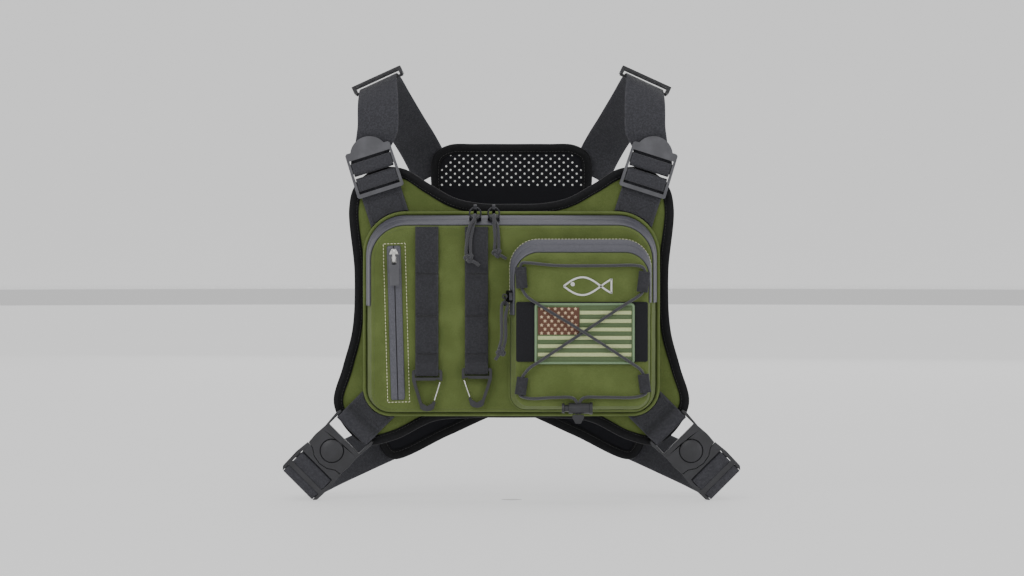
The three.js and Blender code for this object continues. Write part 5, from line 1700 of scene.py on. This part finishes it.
def front_pull_routes(eye: tuple[float, float, float], knot_z: float) -> tuple[list, list]:
    """The two strands of the front pocket's pull; the loop stands square to the others."""
    foot = eye[2] - 2 * 4.2
    bight = 0.8 + 0.3 + 1.5
    lie, knot = eye[0] - 1.2, eye[0] - 3.4
    top = (eye[0], eye[1], foot + 0.8 + bight)
    right = [
        top, (eye[0] + bight * 0.7, eye[1], foot + bight * 0.75), (eye[0] + bight, eye[1], foot + 0.3),
        (lie + 2, eye[1], foot - 9), (lie + 1.8, eye[1], -22), (knot + 1.8, eye[1], knot_z + 2.6)]
    left = [
        top, (eye[0] - bight * 0.7, eye[1], foot + bight * 0.75), (eye[0] - bight, eye[1], foot + 0.3),
        (lie - 1.8, eye[1], foot - 9), (lie - 1.8, eye[1], -22), (knot - 1.8, eye[1], knot_z + 2.6),
        (knot - 2.2, eye[1] - 0.6, knot_z - 2.4), (knot - 5.4, eye[1] - 0.8, knot_z - 7.5)]
    return right, left


# ------------------------------------------------------------------ straps
def hinge_cloth(piece: bpy.types.Object, finish: Finish, bodies: tuple[str, str],
                node: str) -> None:
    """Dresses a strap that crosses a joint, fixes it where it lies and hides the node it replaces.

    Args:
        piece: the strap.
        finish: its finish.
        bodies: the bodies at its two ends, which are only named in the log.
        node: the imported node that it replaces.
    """
    finish.dress(piece)
    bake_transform(piece)
    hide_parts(node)
    LOG.info("%s bends between %s and %s", piece.name, *bodies)


@dataclass
class Place:
    """A flat piece of hardware's own frame: turned about y and moved in x and z."""

    x: float
    z: float
    turn: float

    def at(self, right: float, y: float, up: float) -> list[float]:
        """A point of that frame in the rig's, in millimetres."""
        c, s = np.cos(self.turn), np.sin(self.turn)
        return [self.x + right * c + up * s, y, self.z + up * c - right * s]


@dataclass
class StrapRun:
    """A strap's stations: its middle and the direction of its width at each."""

    middle: list[list[float]] = field(default_factory=list)
    across: list[list[float]] = field(default_factory=list)

    def add(self, at: list[float], across: list[float]) -> None:
        """One more station."""
        self.middle.append(at)
        self.across.append(across)

    def build(self, name: str, samples: int, flip: int) -> tuple[bpy.types.Object, Array, Array]:
        """The strap, mirrored to the left if flip is -1, with its lines."""
        t = np.linspace(0, 1, samples)
        scale = np.array([flip, 1, 1])
        middle = spline(np.array(self.middle), t) * MM * scale
        across = spline(np.array(self.across), t) * scale
        return webbing(name, middle, across), middle, across


@dataclass
class Shoulder:
    """One shoulder: the tab on the panel, the strap over the shoulder, and the stitching."""

    side: str
    flip: int
    lock: Place = field(default_factory=lambda: Place(127.9, 133.7, np.radians(17.7)))
    lower: tuple[float, float] = (-15.4, -5.7)
    upper: tuple[float, float] = (1.7, 11.4)
    tab_y: float = -7.4
    bar_depth: float = 3.0
    back_y: float = 121.4

    def station(self, run: StrapRun, up: float, y: float) -> None:
        """A station on the lock's own frame."""
        c, s = np.cos(self.lock.turn), np.sin(self.lock.turn)
        run.add(self.lock.at(0, y, up), [c, 0, -s])

    def wrap(self) -> tuple[float, float]:
        """The radius of a turn of webbing round a bar, and the depth of its middle."""
        back = self.tab_y - 0.8 - 0.3
        return self.bar_depth / 2 + 0.3 + 0.8, back - self.bar_depth / 2

    def round_bar(self, run: StrapRun, edge: float, way: int, reverse: bool = False) -> None:
        """Stations half way round a bar's edge."""
        radius, middle = self.wrap()
        turns = [-90, -45, 0, 45, 90]
        for degrees in turns[::-1] if reverse else turns:
            a = np.radians(degrees)
            self.station(run, edge + way * radius * np.cos(a), middle - radius * np.sin(a))

    def tab(self) -> None:
        """The webbing that holds the lock, sewn to the panel with a crossed box."""
        radius, middle = self.wrap()
        run = StrapRun()
        for up in (-62, -45, -22, -8):
            self.station(run, up, self.tab_y)
        self.round_bar(run, self.lower[1] - 0.5, 1)
        self.station(run, -10, middle - radius)
        self.station(run, self.lower[0] + 0.5, middle - radius)
        piece, _, _ = run.build(f"shoulder_tab_webbing_{self.side}", 120, self.flip)
        draw_back(piece, np.array([np.sin(self.lock.turn) * self.flip, np.cos(self.lock.turn)]))
        scale = np.array([self.flip, 1, 1]) * MM
        ends = [np.array(self.lock.at(0, self.tab_y, up)) * scale for up in (-30, -12)]
        hinge_cloth(piece, Finish.STRAP, ("vest", f"ladder_lock_{self.side}"),
                    f"shoulder_tab_{self.side}")
        self.crossed_box(f"shoulder_tab_stitching_{self.side}", self.lock, (-53, -27), 15.5, True)

    def crossed_box(self, name: str, place: Place, ups: tuple[float, float], half: float,
                    upright: bool) -> None:
        """A box of stitches with a cross in it.

        Args:
            name: the piece's name.
            place: the frame that it lies in.
            ups: where it starts and ends along the strap.
            half: half its width.
            upright: whether the strap runs along the frame's up.
        """
        low, high = ups
        corners = [(-half, low), (half, low), (half, high), (-half, high), (-half, low),
                   (half, high), (half, low), (-half, high)]
        y = self.tab_y - 0.8 - 0.12
        points = [place.at(r, y, u) if upright else place.at(u, y, r) for r, u in corners]
        line = np.array(points) * MM * [self.flip, 1, 1]
        runs = [np.linspace(line[k], line[k + 1], 40) for k in (0, 1, 2, 3, 4, 6)]
        keep = rounded(-139 * MM, 139 * MM, -96.5 * MM, 96 * MM, 40 * MM, 26 * MM, 600)
        parts = []
        for k, part in enumerate(runs):
            part = part[~within(part[:, [0, 2]], keep)]
            if len(part) > 3:
                out = np.broadcast_to([0.0, -1.0, 0.0], part.shape)
                parts.append(stitches(f"{name}_{k}", part, out, 2.2 * MM, 0.36 * MM))
        settle(joined(name, parts), Finish.BLACK_THREAD, Body.VEST)

    def strap(self) -> None:
        """The long strap: out of the lock, over the shoulder and down to the back panel."""
        radius, middle = self.wrap()
        run = StrapRun()
        self.station(run, self.upper[1] - 0.5, middle - radius)
        self.station(run, 7, middle - radius)
        self.round_bar(run, self.upper[0] + 0.5, -1, True)
        self.station(run, 5, self.tab_y)
        self.station(run, 12, self.tab_y)
        for at, across in (
                ((127, self.tab_y - 0.2, 160), (0.98, 0, -0.17)),
                ((124.6, self.tab_y - 0.6, 172), (1, 0, 0)), ((124.4, -6, 188), (1, 0, -0.04)),
                ((124.6, 1, 201), (0.97, 0, -0.2)), ((125, 13, 211.5), (0.92, 0, -0.38)),
                ((124.6, 28, 216), (0.91, 0, -0.42)), ((121.5, 46, 213), (0.91, 0, -0.42)),
                ((113, 72, 197.5), (0.9, 0, -0.44)), ((99.5, 99, 174), (0.89, 0, -0.46)),
                ((91, 115.5, 160), (0.88, 0, -0.47)), ((84.8, self.back_y, 148.8), (0.88, 0, -0.47)),
                ((74.5, self.back_y, 128), (0.88, 0, -0.47))):
            run.add(list(at), list(across))
        piece, line, wide = run.build(f"shoulder_webbing_{self.side}", 260, self.flip)
        hinge_cloth(piece, Finish.STRAP, (f"ladder_lock_{self.side}", "vest"),
                    f"shoulder_strap_{self.side}")
        back_box(f"shoulder_back_stitching_{self.side}", line, wide, 19 * MM)

    def build(self) -> None:
        """The tab and the strap."""
        self.tab()
        self.strap()


@dataclass
class Side:
    """One side: the tab to the buckle and the strap round the ribs to the back panel."""

    side: str
    flip: int
    place: Place = field(default_factory=lambda: Place(167.3, -127.9, np.radians(45)))
    middle: float = -10.7
    tab_y: float = -7.4
    inner_bar: tuple[float, float] = (-31, -28)
    bars: tuple[tuple[float, float], tuple[float, float]] = ((22, 28), (38, 42.6))
    back_y: float = 121.4

    def station(self, run: StrapRun, out: float, y: float) -> None:
        """A station on the buckle's own frame, whose strap runs outwards."""
        c, s = np.cos(self.place.turn), np.sin(self.place.turn)
        run.add(self.place.at(out, y, 0), [s, 0, c])

    def round_bar(self, run: StrapRun, edge: float, way: int, from_front: bool) -> None:
        """Stations half way round one of the buckle's bars."""
        radius = 1.5 + 0.3 + 0.8
        turns = [90, 45, 0, -45, -90] if from_front else [-90, -45, 0, 45, 90]
        for degrees in turns:
            a = np.radians(degrees)
            self.station(run, edge + way * radius * np.cos(a), self.middle - radius * np.sin(a))

    def build(self) -> None:
        """The tab with its stitching, and the strap."""
        over, under = self.middle - 2.6, self.middle + 2.6
        run = StrapRun()
        for out, y in ((-72, self.tab_y), (-56, self.tab_y), (-44, self.tab_y - 0.5),
                       (-37, over + 1), (-31.5, over)):
            self.station(run, out, y)
        self.round_bar(run, self.inner_bar[1] - 0.5, 1, True)
        self.station(run, -31, under)
        tab, _, _ = run.build(f"side_tab_webbing_{self.side}", 110, self.flip)
        draw_back(tab, np.array([self.flip, -1]) / np.sqrt(2))
        settle(tab, Finish.STRAP, Body.VEST, f"side_tab_{self.side}")
        Shoulder(self.side, self.flip).crossed_box(
            f"side_tab_stitching_{self.side}", self.place, (-63, -45.5), 15.5, False)

        run = StrapRun()
        self.station(run, self.bars[0][0] + 4.4, under)
        self.round_bar(run, self.bars[0][0] + 0.5, -1, False)
        self.station(run, 29, over)
        self.station(run, 38, over)
        self.round_bar(run, self.bars[1][1] - 0.5, 1, True)
        self.station(run, 36, under + 0.6)
        for at, across in (
                ((191.5, 6, -153.5), (-0.68, 0, -0.73)), ((192, 28, -156.5), (-0.62, 0, -0.78)),
                ((186, 58, -155), (-0.55, 0, -0.83)), ((170, 88, -148.2), (-0.47, 0, -0.88)),
                ((146, 110, -138), (-0.42, 0, -0.91)),
                ((128, self.back_y - 0.2, -130.2), (-0.407, 0, -0.914)),
                ((104, self.back_y, -119.5), (-0.407, 0, -0.914))):
            run.add(list(at), list(across))
        strap, line, wide = run.build(f"side_webbing_{self.side}", 280, self.flip)
        hinge_cloth(strap, Finish.STRAP, (f"buckle_plug_{self.side}", "vest"),
                    f"side_strap_{self.side}")
        back_box(f"side_back_stitching_{self.side}", line, wide, 22 * MM)


def seam_outline(margin: float = 0.0) -> Array:
    """The main pocket's corded seam, as seen from the front, grown by a margin."""
    side, low, high = 138.7 * MM + margin, -96.2 * MM - margin, 95.6 * MM + margin
    return rounded(-side, side, low, high, 40 * MM, 26 * MM, 600)


def draw_back(piece: bpy.types.Object, along: Array) -> None:
    """Draws the part of a tab that the pocket's seam covers back along the tab, in short
    steps, until no point lies inside the seam's outline.

    Args:
        piece: the tab.
        along: the tab's direction away from the pocket, in x and z.
    """
    keep, step = seam_outline(), 0.5 * MM
    co = np.empty(len(piece.data.vertices) * 3)
    piece.data.vertices.foreach_get("co", co)
    co = co.reshape(-1, 3)
    for _ in range(60):
        inside = within(co[:, [0, 2]], keep)
        if not inside.any():
            break
        co[inside, 0] += along[0] * step
        co[inside, 2] += along[1] * step
    piece.data.vertices.foreach_set("co", co.ravel())
    piece.data.update()


def within(points: Array, outline: Array) -> Array:
    """Which points lie inside a closed outline: an odd count of edges crossed."""
    a, b = outline, np.roll(outline, -1, 0)
    x, z = points[:, :1], points[:, 1:]
    spans = (a[None, :, 1] > z) != (b[None, :, 1] > z)
    slope = (b[:, 0] - a[:, 0]) / np.where(np.abs(b[:, 1] - a[:, 1]) < 1e-12, 1e-12, b[:, 1] - a[:, 1])
    hits = spans & (x < a[None, :, 0] + (z - a[None, :, 1]) * slope[None])
    return hits.sum(1) % 2 == 1


def back_box(name: str, middle: Array, across: Array, length: float) -> None:
    """A box of stitches with a cross in it, over a strap's last stretch on the back panel.

    Args:
        name: the piece's name.
        middle: the strap's middle line, in metres, ending at the box.
        across: the direction of its width at each point.
        length: how long the box is.
    """
    end, side = middle[-1], across[-1] / np.linalg.norm(across[-1])
    along = middle[-12] - end
    along /= np.linalg.norm(along)
    half, out = 15.5 * MM, 0.92 * MM
    corners = [(-half, 4 * MM), (half, 4 * MM), (half, length), (-half, length), (-half, 4 * MM),
               (half, length), (half, 4 * MM), (-half, length)]
    points = np.array([end + side * a + along * b + [0, out, 0] for a, b in corners])
    outward_y = np.broadcast_to([0.0, 1.0, 0.0], (40, 3))
    parts = [stitches(f"{name}_{k}", np.linspace(points[k], points[k + 1], 40), outward_y,
                      2.2 * MM, 0.36 * MM) for k in (0, 1, 2, 3, 4, 6)]
    settle(joined(name, parts), Finish.BLACK_THREAD, Body.VEST)


# ------------------------------------------------------------------ the whole rig
HARDWARE: dict[Finish, tuple[tuple[str, float], ...]] = {
    Finish.GREY_PLASTIC: (("ladder_lock_left", 0.6), ("ladder_lock_right", 0.6), ("slit_pull", 0.35)),
    Finish.BLACK_PLASTIC: (
        ("carabiner_left", 0.9), ("carabiner_right", 0.9), ("cord_lock_body", 0.4),
        ("cord_lock_plunger", 0.4), ("cord_end", 0.5), ("tri_glide_left", 0.8),
        ("tri_glide_right", 0.8), ("buckle_socket_left", 0.7), ("buckle_socket_right", 0.7),
        ("buckle_button_left", 0.4), ("buckle_button_right", 0.4), ("buckle_plug_left", 0.7),
        ("buckle_plug_right", 0.7)),
    Finish.BLACK_METAL: (("main_slider_left", 0.4), ("main_slider_right", 0.4),
                         ("front_slider", 0.4)),
    Finish.STEEL: (("cord_lock_spring", 0.0), ("slit_slider", 0.35)),
}


@dataclass
class StudioSet:
    """The floor, soft lights and a long lens at the rig's own height."""

    distance: float = 5.0
    view_width: float = 952 * MM
    aim: tuple[float, float, float] = (0.5 * MM, -20 * MM, 24 * MM)
    elevation: float = np.radians(1.5)
    sensor: float = 36.0

    def camera(self) -> None:
        """A camera square to the rig's front."""
        data = bpy.data.cameras.new("studio_camera")
        data.sensor_width = self.sensor
        data.lens = self.sensor * self.distance / self.view_width
        data.clip_end = 60
        camera = bpy.data.objects.new("studio_camera", data)
        bpy.context.scene.collection.objects.link(camera)
        x, y, z = self.aim
        camera.location = (x, y - self.distance * np.cos(self.elevation),
                           z + self.distance * np.sin(self.elevation))
        camera.rotation_euler = (np.pi / 2 - self.elevation, 0, 0)
        bpy.context.scene.camera = camera

    def light(self, name: str, at: tuple[float, float, float], size: float, power: float) -> None:
        """A square area light that faces the rig."""
        data = bpy.data.lights.new(name, "AREA")
        data.size, data.energy = size, power
        lamp = bpy.data.objects.new(name, data)
        bpy.context.scene.collection.objects.link(lamp)
        x, y, z = np.array(at, float)
        flat = np.hypot(x, y)
        lamp.location = at
        lamp.rotation_euler = (np.arctan2(flat, z), 0, np.arctan2(y, x) + np.pi / 2)

    def build(self) -> None:
        """Camera, lights, sky and floor."""
        self.camera()
        self.light("key", (-1.3, -2.6, 2.0), 1.6, 27)
        self.light("fill", (2.2, -2.2, 0.7), 1.8, 9)
        self.light("top", (0.2, 0.3, 2.6), 1.8, 14)
        self.light("back", (0.4, 3.0, 1.0), 2.2, 12)
        world = bpy.data.worlds.new("studio_sky")
        bpy.context.scene.world = world
        world.use_nodes = True
        world.node_tree.nodes["Background"].inputs[0].default_value = (1, 1, 1, 1)
        world.node_tree.nodes["Background"].inputs[1].default_value = 0.6
        low = CAD_BOX[0][2] - 0.4 * MM
        turn = np.linspace(0, 2 * np.pi, 96, endpoint=False)
        bend = np.linspace(-np.pi / 2, 0, 24)
        radius = np.concatenate([[0.01, 2, 5, 7.5], 7.5 + 3 * np.cos(bend), [10.5, 10.5]])
        height = np.concatenate([[0, 0, 0, 0], 3 + 3 * np.sin(bend), [5, 9]]) + low
        grid = np.stack([radius[:, None] * np.cos(turn), radius[:, None] * np.sin(turn),
                         np.broadcast_to(height[:, None], (len(height), 96))], -1)
        floor = sheet("studio_floor", grid, wrap_cols=True)
        Finish.FLOOR.dress(floor)


def front_of_rig() -> None:
    """The panel, the pockets and everything sewn on their fronts."""
    BoundPanel("chest", CHEST_HALF, 0.0, -5 * MM, (0, 0), Finish.OLIVE).build()
    main_base = -6.6 * MM
    MainPocket("main_pocket", Frame2D(-134.5, 134.5, -92, 91.4, 36, 22),
               Frame2D(-130, 130.5, -90.5, 82.4, 32, 18), main_base, 21 * MM, 38 * MM, (8, 11)).build()
    FrontPocket("front_pocket", Frame2D(-1.4, 128.6, -88, 69.8, 26, 15),
                Frame2D(3.3, 126.5, -84.2, 57.7, 22, 13), -47.2 * MM, 12 * MM, 21 * MM,
                (0.3, 11.7)).build()
    SlitPocket().build()
    LoadStrap("left", -78.2, -52.3).build()
    LoadStrap("right", -32.3, -50.6).build()
    WireGate("left", (-77.9, -51.8, -52.3), 33.4, 1, Body.GATE_LEFT).build()
    WireGate("right", (-31.9, -51.8, -50.6), 31.8, -1, Body.GATE_RIGHT).build()
    Patch().build()
    FishPrint().build()
    Lacing().build()


def pulls() -> None:
    """Every ring and cord pull."""
    face, eye = -46.9, (-48.21, 99.09)
    for name, body, x, lie, tail in (
            ("main_pull_left", Body.MAIN_PULL_LEFT, -33.5, (-39.3, face - 7.4, 52.6), (9.5, -7)),
            ("main_pull_right", Body.MAIN_PULL_RIGHT, -16.4, (-13.4, face - 3.4, 57.2), (8.6, -5.4))):
        first, second = main_pull_routes(x, eye, lie, tail)
        CordPull(name, body, first, second, (lie[0], lie[1] - 0.9, lie[2]), 0.4).build()
        SplitRing(name.replace("pull", "ring"), body, 5.2, False).build()
    first, second = front_pull_routes((-6.17, -66.96, 17.5), -33.5)
    CordPull("front_pull", Body.FRONT_PULL, first, second, (-9.6, -67.4, -33.5), 0.9).build()
    SplitRing("front_ring", Body.FRONT_PULL, 4.2, True).build()


def main() -> None:
    """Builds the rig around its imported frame, piece by piece."""
    logging.basicConfig(level=logging.INFO, format="%(name)s: %(message)s")
    StudioSet().build()
    pulls()
    front_of_rig()
    BoundPanel("back", BACK_HALF, 119 * MM, 115 * MM, (0, -0.04), Finish.FOAM).build()
    for side, flip in (("left", -1), ("right", 1)):
        Shoulder(side, flip).build()
        Side(side, flip).build()
    for finish, nodes in HARDWARE.items():
        for node, width in nodes:
            soften(node, finish, width * MM)


if __name__ == "__main__":
    main()
